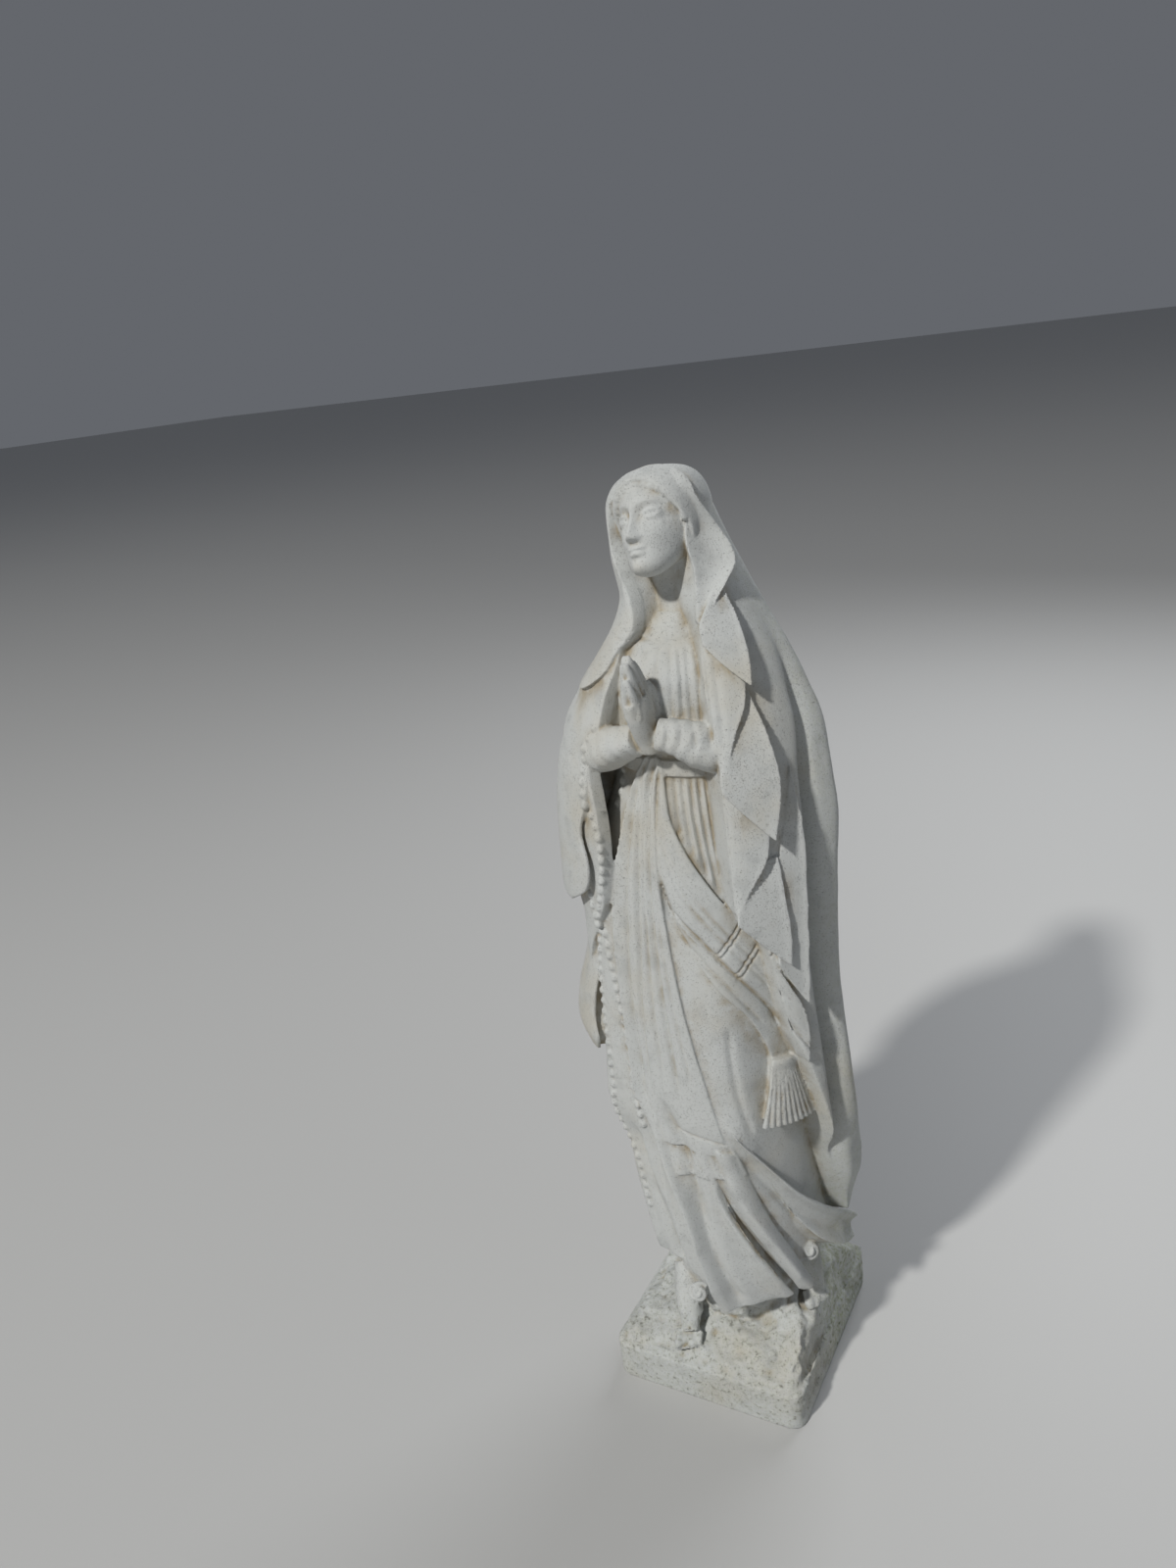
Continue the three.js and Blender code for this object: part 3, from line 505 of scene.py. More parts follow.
def skirt():
    """A broad panel over the right foot, a narrow fold beside it and a train that flares out."""

    def hollow_panel(u, v):
        ridges = 4 * bell((u - 0.10) / 0.10) + 3 * bell((u - 0.90) / 0.09)
        return ridges - 7 * np.sin(np.pi * u) * ease(3 * v) + 2 * bell((u - 0.45) / 0.12) * v

    laid(dress,
         [[-24, 360, 0], [-17, 309, 3], [-8, 265, 6], [-1, 222, 9], [4, 176, 12],
          [9, 122, 15]],
         [[10, 340, 0], [15, 290, 1], [22, 248, 4], [31, 212, 7], [41, 174, 10],
          [52, 135, 13]],
         hollow_panel, across=100, down=200)
    laid(dress,
         [[14, 330, 0], [20, 285, 1], [28, 242, 3], [38, 204, 6], [48, 166, 9], [56, 136, 12]],
         [[28, 322, 0], [36, 276, 2], [44, 234, 5], [53, 196, 8], [60, 162, 12], [66, 140, 14]],
         crown(7), down=180)
    laid(dress,
         [[27, 350, 0], [36, 326, 4], [47, 298, 7], [62, 258, 11], [80, 222, 18],
          [98, 188, 27], [108, 166, 31]],
         [[34, 320, 0], [43, 290, 1], [52, 256, 3], [62, 220, 7], [74, 184, 16],
          [88, 160, 25], [102, 146, 30]],
         lambda u, v: 4 * bell((u - 0.12) / 0.12) - 5 * np.sin(np.pi * u) * v, across=80, down=200)
    limb([dress(50, 258, -16), dress(70, 208, -9), dress(88, 176, 2), dress(99, 157, 9)],
         [12, 15, 18, 14])


# Head


def turned(x=0.0, y=0.0, z=0.0):
    """A turn about Y, then X, then Z, in degrees."""
    made = Matrix.Rotation(math.radians(z), 3, "Z") @ Matrix.Rotation(math.radians(x), 3, "X")
    return np.array(made @ Matrix.Rotation(math.radians(y), 3, "Y"))


# Head frame: the origin is between the ears, -Y is her face and +Z her crown.
HEAD_PLACE = np.array([-2.0, -19, 953])
HEAD_TURN = turned(x=-13, y=-12, z=-14)


def in_head(p):
    return np.asarray(p, float) @ HEAD_TURN.T + HEAD_PLACE


# By height: half its width, half its depth, and how far back its middle lies.
head_plan = track([
    [-52, 3, 3, -26.5], [-50.5, 8.5, 9, -26], [-47, 14.5, 15.5, -24], [-41, 20, 23, -18.5],
    [-30, 26.5, 32.5, -8.5], [-15, 32, 38.5, -2.5], [0, 34, 42, 2], [13, 35.5, 43, 3],
    [25, 33, 40, 4], [34, 27, 33, 6], [40, 18, 22, 7], [43, 6, 8, 7],
])
EYE_RADIUS = 9.6
EYE_OUT = 15.2
EYE_UP = 0.2


def nose(x, z):
    bridge = track([[-23.5, 0], [-21.5, 2.4], [-19, 8.4], [-16.5, 10.4], [-10, 8.0], [-2, 5.2],
                    [5, 3.2], [12, 1.2], [18, 0]])(z)[..., 0]
    width = track([[-22, 4.4], [-17, 4.6], [-10, 4.0], [2, 3.8], [12, 6.5]])(z)[..., 0]
    wings = 4.2 * bell((np.abs(x) - 5.4) / 2.6) * bell((z + 18.6) / 2.8)
    nostrils = -1.8 * bell((np.abs(x) - 3.2) / 1.4) * bell((z + 21.8) / 1.2)
    return bridge * bell(x / width) + wings + nostrils


def mouth(x, z):
    across = np.clip(1 - (x / 10.5) ** 2, 0, 1) ** 0.6
    part = -30.2 + 0.4 * np.cos(x * 0.6) * bell(x / 6) + 0.9 * np.clip(x / 10, -1.2, 1.2) ** 2
    bow = 2.3 * across * (1 - 0.14 * bell(x / 1.5))
    upper = 1.2 * bow * bell((z - part - 1.9 - 0.5 * bell((np.abs(x) - 2.4) / 1.8)) / 1.8)
    lower = 3.4 * np.clip(1 - (x / 9.2) ** 2, 0, 1) * bell((z - part + 2.5) / 2.1)
    parting = -1.7 * bell((z - part) / 0.9) * np.clip(1 - (x / 10.5) ** 4, 0, 1)
    corners = -0.9 * bell((np.abs(x) - 9.8) / 1.8) * bell((z - part) / 2.0)
    philtrum = -0.5 * bell(x / 1.4) * bell((z + 25) / 2.0)
    return upper + lower + parting + corners + philtrum


def face(x, z):
    """How far her face stands out of the plain head form."""
    a = np.abs(x)
    brow_line = 10.5 + 2.2 * np.sin(np.clip(a - 4, 0, 20) / 20 * np.pi)
    forms = 1.0 * bell(a / 14) * bell((z - 22) / 14)
    forms = forms + 1.4 * bell((z - brow_line) / 2.3) * ease((a - 2) / 5) * ease((26 - a) / 7)
    forms = forms - 3.6 * bell((a - 15) / 9.5) * bell((z - 1.5) / 6.6)
    forms = forms - 1.8 * bell((a - 7.0) / 3.2) * bell((z - 3.0) / 4.0)
    forms = forms + 2.8 * bell((a - 17) / 11) * bell((z + 15) / 11)
    forms = forms + 1.8 * bell(x / 11) * bell((z + 29) / 9)
    forms = forms - 1.0 * bell(x / 7) * bell((z + 37.4) / 2.4)
    forms = forms + 3.2 * bell(x / 8) * bell((z + 45) / 5.2)
    return forms + nose(x, z) + mouth(x, z)


def head_body():
    angles = np.concatenate([np.arange(-90, 90, 0.8), np.arange(90, 270, 3.0)])
    heights = np.concatenate([np.linspace(-52, -44, 16), np.arange(-43.4, 49.2, 0.62)])
    z = np.repeat(heights[:, None], len(angles), 1)
    wide, deep, middle = np.moveaxis(head_plan(z), -1, 0)
    turn = np.radians(angles)[None, :]
    x = wide * np.sin(turn)
    y = middle - deep * np.cos(turn)
    front = ease((np.cos(turn) + 0.05) / 0.3)
    loft(in_head(np.stack([x, y - front * face(x, z), z], -1)))


def eyes():
    """Blank carved eyes: a ball with an upper and a lower lid round an almond opening."""
    out = np.linspace(-EYE_RADIUS, EYE_RADIUS, 70)[None, :]
    up = np.linspace(-7.5, 7.5, 60)[:, None]
    reach = np.clip(1 - (out / 7.6) ** 2, 0, 1)
    tilt = 0.06 * out
    above = 3.3 * reach**0.75 + tilt - up
    below = up - tilt + 2.1 * reach
    opening = ease(np.minimum(above, below) / 0.7 + 0.5) * (reach > 0)
    upper_rim = 0.8 * bell((above + 0.5) / 0.9)
    lower_rim = 0.4 * bell((below + 0.5) / 0.9)
    lid = 1.5 * (1 - opening) + upper_rim + lower_rim
    square = EYE_RADIUS**2 - 0.95 * out**2 - 1.25 * up**2
    y = -26.6 + 0.26 * out - np.sqrt(np.maximum(square, 1.0)) - lid * (square > 4)
    z = up + EYE_UP + 0 * out
    for side in (1, -1):
        x = side * (EYE_OUT + out) + 0 * up
        slab(in_head(np.stack([x, y, z], -1)), in_head(np.stack([x, y * 0 - 18, z], -1)))


def both_ways(half):
    """An arch, drawn from its end on her right up to its middle and mirrored down her left."""
    return half + [[-x, y, z] for x, y, z in half[-2::-1]]


def hood():
    """The veil over her head: the head's own form set out all round, cut off along the hairline."""
    angles = np.arange(-180, 180, 1.5)
    heights = np.linspace(-42, 43, 90)
    wide, deep, middle = (c[:, None] for c in np.moveaxis(head_plan(heights), -1, 0))
    turn = np.radians(angles)[None, :]
    cloth = track([[-42, 4], [-20, 6.5], [20, 7.5], [43, 7]])(heights)
    x = (wide + cloth) * np.sin(turn)
    y = middle - (deep + cloth) * np.cos(turn)
    z = heights[:, None] + 5.0 * ease((heights[:, None] - 20) / 22) + 0 * x
    rim = -14.5 - 0.56 * z + 0.6 * np.sin(x / 9)
    loft(in_head(np.stack([x, np.maximum(y, rim), z], -1)))
    hem = both_ways([[-36, -13, -8], [-35.5, -18, 4], [-32, -25, 15], [-22, -31, 26.5],
                     [0, -34.5, 34]])
    limb(in_head(hem), [2.2, 2.6, 2.6, 2.6, 2.2], rings=200, sides=24)


def hair():
    """Waves of hair between her forehead and the veil."""
    arch = both_ways([[-33.5, -17, 3], [-30.5, -24, 12], [-21.5, -30.5, 22.5], [0, -34, 28.5]])

    def waves(along, turn):
        locks = 0.4 * np.cos(90 * along + 2 * np.sin(turn))
        return locks + 0.35 * np.sin(7 * turn - 46 * along)

    limb(in_head(arch), [2.0, 2.3, 2.5, 2.3, 2.0], rings=300, sides=60, swell=waves)


def flap():
    """The veil turned out beside her left cheek, from the hood down to her breast."""
    down = share_of(170)
    near = in_head([[12, -27, 37], [24, -26, 28], [31, -22.5, 16], [34.5, -16, 4], [35, -12, -9],
                    [32, -10, -27]])
    near = np.vstack([near, [cloak(*p) for p in ((41, 910, 2), (36, 888, 3), (32, 868, 4))]])
    rim = in_head([[20, -14, 42], [34, -14, 37], [42.5, -14, 30], [46, -11, 22], [47, -8, 13]])
    tail = [cloak(*p) for p in ((74, 944, 15), (76, 930, 17), (73, 915, 17), (61, 901, 15),
                                (34, 865, 8))]
    far = bent(np.vstack([rim, tail]))(down)
    inner = bent(near)(down)

    def sheet(u, back):
        u = u[None, :, None]
        low = ease((down[:, None, None] - 0.3) / 0.25) * (1 - down[:, None, None]) ** 0.4
        bow = 6.5 * np.sin(np.pi * u) * low
        return inner[:, None] * (1 - u) + far[:, None] * u + bow * [-0.4, 0.9, 0] + back

    wide = share_of(60)
    slab(sheet(wide, [0, 0, 0]), sheet(wide, [-1.4, 3.4, 0]))
    slab(sheet(0.82 * wide, [-0.4, 1, 0]), sheet(0.82 * wide, [-13, 18, 0]))


def neck():
    limb([[8, 2, 836], [7, -3, 862], [2, -7, 896], [-3, -12, 940]], [47, 38, 27.5, 22, 22, 23])
    turn = 2 * np.pi * share_of(16)[1:]
    collar = np.stack([4 + 40 * np.sin(turn), -44 * np.cos(turn), 858 - 6 * np.cos(turn)], 1)
    limb(collar, [2, 2], rings=120, sides=20)


# Hands and sleeves

# Hand frame: the palms meet on x = 0, Y runs from the little finger to the thumb and Z to the
# fingertips.
HAND_PLACE = np.array([-2.0, -90, 764])
HAND_TURN = np.array(Matrix.Rotation(math.radians(16), 3, "X")
                     @ Matrix.Rotation(math.radians(-2), 3, "Y")
                     @ Matrix.Rotation(math.radians(3), 3, "Z"))
# Each finger's place across the palm, the height of its root, its length and its radius.
FINGERS = [(14, 42, 38, 4.5), (4.6, 44, 45, 4.7), (-5, 43, 42, 4.5), (-14, 39, 34, 4.0)]


def in_hand(p):
    return np.asarray(p, float) @ HAND_TURN.T + HAND_PLACE


def hand(side):
    z = np.linspace(-8, 50, 40)
    thick, half = track([[-8, 11, 10], [4, 11.5, 11.5], [18, 12, 16], [34, 12, 19],
                         [50, 9.5, 19]])(z).T
    turn = 2 * np.pi * share_of(48)[:-1]
    x = np.maximum(np.cos(turn), 0)[None, :] * thick[:, None] + 0.01
    y = np.sin(turn)[None, :] * half[:, None]
    loft(in_hand(np.stack([side * x, y, z[:, None] + 0 * x], -1)))
    for along, root, length, radius in FINGERS:
        centres = [[side * (4.5 - 3 * t * t), along * (1 - 0.3 * t), root - 4 + (length + 4) * t]
                   for t in (0, 0.5, 1)]
        limb(in_hand(centres), [radius * k for k in (0.96, 1, 0.95, 0.96, 0.86, 0.5)],
             rings=30, sides=24)
    thumb = [[side * 4, 14, 16], [side * 5, 20, 34], [side * 4, 19, 54]]
    limb(in_hand(thumb), [6, 6.4, 6.0, 5.8, 3], rings=30, sides=24)


def gathers(depth, count):
    """Rings of gathered cloth round a sleeve, deeper towards the wrist."""

    def swell(along, turn):
        waves = np.sin(2 * np.pi * (count * along + 0.35 * np.sin(turn + 3 * along)))
        long_folds = 0.8 * np.sin(4 * turn + 5 * along)
        return depth * (0.35 + 0.65 * along) * waves + long_folds

    return swell


def arms():
    limb([[88, -18, 744], [70, -54, 754], [48, -76, 758], [24, -88, 770], [8, -93, 774]],
         [29, 29, 27, 25, 22, 18, 14.5], rings=120, sides=90, swell=gathers(0.55, 11))
    limb([[-88, -14, 738], [-76, -46, 744], [-57, -74, 750], [-32, -88, 760], [-12, -92, 767]],
         [27, 27, 26, 24, 21, 17, 14], rings=120, sides=90, swell=gathers(0.65, 12))
    hand(1)
    hand(-1)


# Feet and block


def rose(centre, size, facing):
    """A small open rose: a spiral of petals on a round bud."""
    facing = np.array(facing, float) / np.linalg.norm(facing)
    across = np.cross(facing, [0, 0, 1])
    across = across / np.linalg.norm(across)
    up = np.cross(across, facing)
    ball(centre, [0.8 * size] * 3)
    turn = 2 * np.pi * np.linspace(0.4, 2.4, 36)
    reach = size * np.linspace(0.14, 0.88, 36) * (1 + 0.07 * np.cos(2.5 * turn))
    petals = np.outer(reach * np.cos(turn), across) + np.outer(reach * np.sin(turn), up)
    petals = petals + np.outer(0.95 * size - 0.75 * reach, facing) + centre
    limb(petals, [0.14 * size, 0.19 * size, 0.21 * size], rings=170, sides=16)


# Each toe's place across the foot and its radius, from the big toe on.
TOES = [(-1, 5.6), (-0.45, 4.6), (0.05, 4.4), (0.5, 4.0), (0.9, 3.6)]


def foot(instep, radii, toes_from, toes_to, spread):
    """A bare foot: an instep and five toes side by side."""
    limb(instep, radii)
    toes_from, toes_to, spread = (np.array(p, float) for p in (toes_from, toes_to, spread))
    for k, (place, radius) in enumerate(TOES):
        start = toes_from + spread * place
        end = toes_to + spread * place * 1.08 + (toes_from - toes_to) * 0.06 * k
        knuckle = (start + end) / 2 + [0, -1.5, 2.0]
        limb([start, knuckle, end], [radius, radius * 0.95, radius, radius * 0.7],
             rings=24, sides=20)


def feet():
    foot([[-38, -50, 118], [-32, -72, 98], [-27, -88, 82], [-22, -99, 70]],
         [20, 17, 14, 10], [-23, -96, 68], [-20, -113, 56], [11, 3, 0])
    foot([[76, -8, 150], [88, -16, 130], [96, -22, 112], [101, -26, 103]],
         [22, 18, 14, 9], [99, -24, 106], [107, -34, 94], [7, 8, 0])
    rose([-13, -87, 119], 12, [0.25, -0.8, 0.5])
    rose([94, -30, 166], 15, [0.6, -0.7, 0.35])


# How high and how steeply the rock rises from the ledge, by angle.
rock_rise = track([
    [-180, 1.0], [-90, 0.85], [-20, 0.8], [34, 0.86], [52, 1.2], [72, 1.6], [120, 1.5],
    [150, 1.05], [180, 1.0],
])
rock_steepness = track([
    [-180, 0.8], [-20, 0.9], [38, 0.7], [54, 0.25], [120, 0.2], [150, 0.7], [180, 0.8],
])


OUTLINE_POINTS = 419


def block_outline(inset):
    """The block's outline in plan, set in from its faces, as points at even steps."""
    wide, deep = BLOCK_WIDTH / 2 - inset, BLOCK_DEPTH / 2 - inset
    radius = CORNER_RADIUS + 0.8 * inset
    corners = [(1, 1), (-1, 1), (-1, -1), (1, -1)]
    points = []
    for k, (x, y) in enumerate(corners):
        for u in share_of(10):
            turn = (k + u) * math.pi / 2
            points.append([x * (wide - radius) + radius * math.cos(turn),
                           y * (deep - radius) + radius * math.sin(turn)])
    points = np.array(points + points[:1])
    run = run_along(points)
    steps = np.linspace(0, run[-1], OUTLINE_POINTS + 1)[:-1]
    return np.stack([np.interp(steps, run, points[:, k]) for k in range(2)], 1)


def block():
    """Plain faces up to a ledge, and craggy rock from there in to her feet."""
    reach, ledge, lip = 62, 5, 3
    levels = [(0, h) for h in np.linspace(0, LEDGE_HEIGHT - lip, 12)] + [(1.5, LEDGE_HEIGHT - 1.2)]
    rings = [np.column_stack([block_outline(inset), np.full(OUTLINE_POINTS, h)])
             for inset, h in levels]
    for t in share_of(40):
        outline = block_outline(ledge + reach * t)
        turn = np.arctan2(outline[:, 0], -outline[:, 1])
        rise = rock_rise(np.degrees(turn))[:, 0]
        steep = rock_steepness(np.degrees(turn))[:, 0]
        level = 5 * t
        swing = np.sin(turn * 7 + level * 2.1) + 0.6 * np.sin(turn * 13 - level * 3.7)
        craggy = 1 + 1.6 * bell((np.degrees(turn) - 85) / 42)
        out = 2.0 * swing * ease(8 * t) * craggy
        height = LEDGE_HEIGHT + (BLOCK_HEIGHT - LEDGE_HEIGHT) * rise * t**steep + 0.6 * out
        x = outline[:, 0] + out * np.sin(turn)
        y = outline[:, 1] - out * np.cos(turn)
        rings.append(np.column_stack([x, y, height]))
    loft(np.stack(rings))


# Beads

# Each route is [angle, height], looked at from a distance that clears only what lies outside it.
bead_routes = [
    (160, [[-34, 774], [-39, 750], [-41, 720], [-39, 692], [-36, 672], [-35, 655], [-36, 630],
           [-39, 605], [-44, 580], [-49, 555], [-52, 520], [-52, 490], [-50, 440], [-47, 400],
           [-45, 372], [-46, 345], [-46, 310], [-42, 288], [-39, 265], [-36, 225]]),
    (14, [[-44, 722], [-45, 680], [-46, 640], [-49, 588], [-45, 540], [-42, 505], [-37, 450],
          [-33, 380], [-31, 335]]),
]


# How far a bead looks in for its seat, in metres.
BEAD_SIGHT = 0.4


def mesh_of(points, triangles, name):
    mesh = bpy.data.meshes.new(name)
    mesh.vertices.add(len(points))
    mesh.loops.add(3 * len(triangles))
    mesh.polygons.add(len(triangles))
    mesh.vertices.foreach_set("co", np.asarray(points, np.float32).ravel() * MILLIMETRE)
    mesh.loops.foreach_set("vertex_index", np.asarray(triangles, np.int32).ravel())
    mesh.polygons.foreach_set("loop_start", np.arange(len(triangles), dtype=np.int32) * 3)
    mesh.update(calc_edges=True)
    made = bpy.data.objects.new(name, mesh)
    bpy.context.scene.collection.objects.link(made)
    return made


def beads(carving):
    """Beads along each route, each seated in the surface that lies behind its place."""
    tree = BVHTree.FromObject(carving, bpy.context.evaluated_depsgraph_get())
    samples = share_of(150)

    def seat(angle, z, clear):
        start = dress(angle, z, clear)
        way = Vector(np.array([0, 0, z]) - start).normalized()
        place, _, _, _ = tree.ray_cast(Vector(start) * MILLIMETRE, way, BEAD_SIGHT)
        place = np.array(place) / MILLIMETRE if place else dress(angle, z)
        return place + 0.12 * BEAD_DIAMETER * np.array(way)

    for clear, route in bead_routes:
        flat = bent(route)
        run = run_along(np.array([seat(a, z, clear) for a, z in flat(samples)]))
        count = round(run[-1] / BEAD_PITCH)
        for k, u in enumerate(np.interp(share_of(count) * run[-1], run, samples)):
            angle, z = flat(u)
            size = BEAD_DIAMETER / 2 * (1 + 0.06 * math.sin(2.7 * k))
            ball(seat(angle, z, clear), [size, size, size * 1.08], detail=10)


# Putting the carving together


def apply_modifier(piece, kind, **values):
    modifier = piece.modifiers.new(kind.lower(), kind)
    for name, value in values.items():
        setattr(modifier, name, value)
    made = bpy.data.meshes.new_from_object(
        piece.evaluated_get(bpy.context.evaluated_depsgraph_get()))
    piece.modifiers.clear()
    old, piece.data = piece.data, made
    bpy.data.meshes.remove(old)


def coordinates(mesh):
    co = np.zeros(len(mesh.vertices) * 3, np.float32)
    mesh.vertices.foreach_get("co", co)
    return co.reshape(-1, 3).astype(float) / MILLIMETRE


def carve():
    """All bodies and the beads in one mesh, still crossing each other."""
    for make in (dress_body, cloak_body, left_fall, right_fall, sash, skirt, head_body, eyes,
                 hood, hair, flap, neck, arms, feet, block):
        make()
    rough = mesh_of(np.concatenate(clay_points), np.concatenate(clay_faces), "rough")
    beads(rough)
    bpy.data.objects.remove(rough)
    return mesh_of(np.concatenate(clay_points), np.concatenate(clay_faces), "praying_figure_cast")


# Fine carving, cut into the joined form

# Each mark runs through [angle, height], with its depth (less than nothing for a groove) and width.
marks = [
    # neckline and the seam of the yoke
    (-1.4, 1.5, [[-36, 861], [-12, 861], [3, 862], [20, 863], [38, 865]]),
    (-1.5, 1.5, [[-38, 854], [-31, 852], [-13, 851], [-1, 849], [17, 850], [28, 852], [37, 854]]),
    # gathers of the bodice
    (-1.3, 2.4, [[-17, 849], [-20, 834], [-22, 815]]),
    (-1.2, 2.2, [[-8, 848], [-10, 828], [-11, 806]]),
    (-1.4, 2.4, [[3, 846], [3, 826], [1, 790]]),
    (-1.4, 2.4, [[13, 848], [14, 822], [12, 760]]),
    (-1.3, 2.2, [[20, 845], [21, 822], [19, 765]]),
    (-1.5, 2.4, [[27, 845], [26, 821], [26, 755]]),
    (-1.3, 2.2, [[34, 844], [34, 820], [33, 755]]),
    (-1.4, 2.4, [[41, 839], [40, 819], [38, 755]]),
    (1.0, 2.6, [[17, 844], [18, 820], [16, 770]]),
    (1.0, 2.6, [[30, 842], [30, 816], [29, 765]]),
    # pleats under the belt
    (-2.4, 2.6, [[8, 724], [9, 690], [11, 668]]),
    (-2.8, 2.8, [[14, 724], [16, 680], [19, 646]]),
    (-3.0, 2.8, [[20, 724], [22, 676], [27, 622]]),
    (-2.8, 2.6, [[26, 724], [28, 670], [33, 606]]),
    (-2.4, 2.6, [[32, 724], [33, 670], [37, 598]]),
    (1.6, 3.0, [[17, 722], [19, 676], [22, 640]]),
    (1.6, 3.0, [[23, 722], [25, 670], [30, 612]]),
    (1.4, 3.0, [[29, 722], [31, 668], [35, 604]]),
    # the hanging end of the sash
    (-3.2, 3.0, [[-17, 735], [-20, 648], [-22, 543], [-24, 487], [-21, 377]]),
    (-1.9, 2.2, [[-22, 725], [-28, 648], [-31, 543], [-31, 487], [-27, 377]]),
    (-3.0, 3.0, [[-9, 735], [-13, 650], [-12, 560], [-9, 487], [-2, 380]]),
    (-1.8, 2.2, [[-4, 730], [-9, 650], [-7, 560], [-2, 487], [7, 390]]),
    (-1.6, 1.8, [[-15, 700], [-17, 640], [-17, 560], [-16, 487], [-10, 380]]),
    (-1.6, 1.6, [[-8, 347], [8, 342], [24, 334]]),
    # the sash end across her front
    (-4.6, 2.8, [[-5, 627], [2, 593], [19, 562], [37, 523], [57, 476], [70, 429]]),
    (-2.0, 2.4, [[-3, 690], [2, 640], [15, 598], [33, 558], [50, 520], [64, 486]]),
    (-1.8, 2.2, [[0, 665], [9, 628], [24, 592], [40, 556], [54, 520]]),
    (-2.4, 2.4, [[-4, 600], [4, 572], [18, 542], [34, 508], [52, 462]]),
    (-1.8, 1.3, [[43, 580], [35, 562], [26, 546]]),
    (-1.8, 1.3, [[45, 576], [37, 558], [28, 542]]),
    (-1.8, 1.3, [[53, 556], [44, 538], [36, 524]]),
    (-1.8, 1.3, [[55, 551], [46, 533], [38, 519]]),
    # the skirt
    (4.1, 6.0, [[-37, 409], [-24, 348], [-8, 270], [-1, 226], [3, 179], [8, 129]]),
    (-6.2, 7.0, [[-16, 381], [-4, 330], [2, 273], [5, 226], [13, 168], [23, 127]]),
    (-6.2, 3.4, [[15, 285], [23, 244], [33, 210], [43, 174], [54, 137]]),
    (2.7, 5.0, [[20, 300], [29, 261], [39, 225], [49, 186], [56, 152]]),
    (3.2, 6.0, [[21, 368], [33, 336], [45, 300], [62, 257], [78, 224], [104, 180]]),
    (-3.2, 5.0, [[30, 316], [42, 280], [58, 238], [74, 204], [92, 172]]),
    (-3.5, 6.0, [[-40, 330], [-30, 262], [-22, 208], [-16, 160]]),
    (2.4, 6.0, [[-34, 320], [-24, 258], [-15, 205], [-8, 152]]),
    (-2.2, 4.0, [[30, 470], [30, 430], [33, 380], [38, 340]]),
]


def round_places(points):
    """Angle and distance of each point from the middle of the dress."""
    x = points[:, 0] - dress_plan(points[:, 2])[:, 4]
    return np.degrees(np.arctan2(x, -points[:, 1])), np.hypot(x, points[:, 1])


def engrave(points, normals):
    """Cuts the marks into what faces out on the front of the dress and its cloth."""
    angle, distance = round_places(points)
    level = radius_of(dress_plan, angle, points[:, 2])
    way = np.stack([np.sin(np.radians(angle)), -np.cos(np.radians(angle))], 1)
    facing = (normals[:, :2] * way).sum(1) > 0.15
    shown = facing & (distance > level - 14) & (np.abs(angle) < 125)
    shown &= (points[:, 2] > 100) & (points[:, 2] < 860)
    moves = np.zeros(len(points))
    for depth, width, route in marks:
        line = bent(route)(share_of(36))
        low, high = line.min(0), line.max(0)
        margin = 3 * width
        spread = np.degrees(margin / 70)
        pick = shown & (points[:, 2] > low[1] - margin) & (points[:, 2] < high[1] + margin)
        pick &= (angle > low[0] - spread) & (angle < high[0] + spread)
        here = np.flatnonzero(pick)
        if not len(here):
            continue
        scale = np.radians(distance[here])
        start = np.stack([(angle[here][:, None] - line[None, :-1, 0]) * scale[:, None],
                          points[here, 2][:, None] - line[None, :-1, 1]], -1)
        run = np.stack([(line[None, 1:, 0] - line[None, :-1, 0]) * scale[:, None],
                        np.broadcast_to(np.diff(line[:, 1]), (len(here), len(line) - 1))], -1)
        t = np.clip((start * run).sum(-1) / np.maximum((run * run).sum(-1), 1e-9), 0, 1)
        away = np.hypot(*np.moveaxis(start - t[..., None] * run, -1, 0))
        nearest = away.argmin(1)
        rows = np.arange(len(here))
        along = (nearest + t[rows, nearest]) / (len(line) - 1)
        fade = ease(along / 0.12 + 0.15) * ease((1 - along) / 0.12 + 0.15)
        moves[here] += depth * fade * bell(away[rows, nearest] / width)
    points[:, :2] += way * moves[:, None]


def lattice_noise(points, cell, seed):
    """Smooth noise from -1 to 1 on a lattice of that cell size."""
    table = np.random.default_rng(seed).uniform(-1, 1, (64, 64, 64))
    place = points / cell
    base = np.floor(place).astype(int)
    t = ease(place - base)
    total = np.zeros(len(points))
    for corner in np.ndindex(2, 2, 2):
        corner = np.array(corner)
        weight = np.where(corner, t, 1 - t).prod(1)
        i, j, k = ((base + corner) % 64).T
        total += weight * table[i, j, k]
    return total


# Two worn pits in the rock: place, size and depth.
worn_pits = [((62, -66, 84), 4.0, 7), ((34, -68, 92), 5.5, 3.5)]


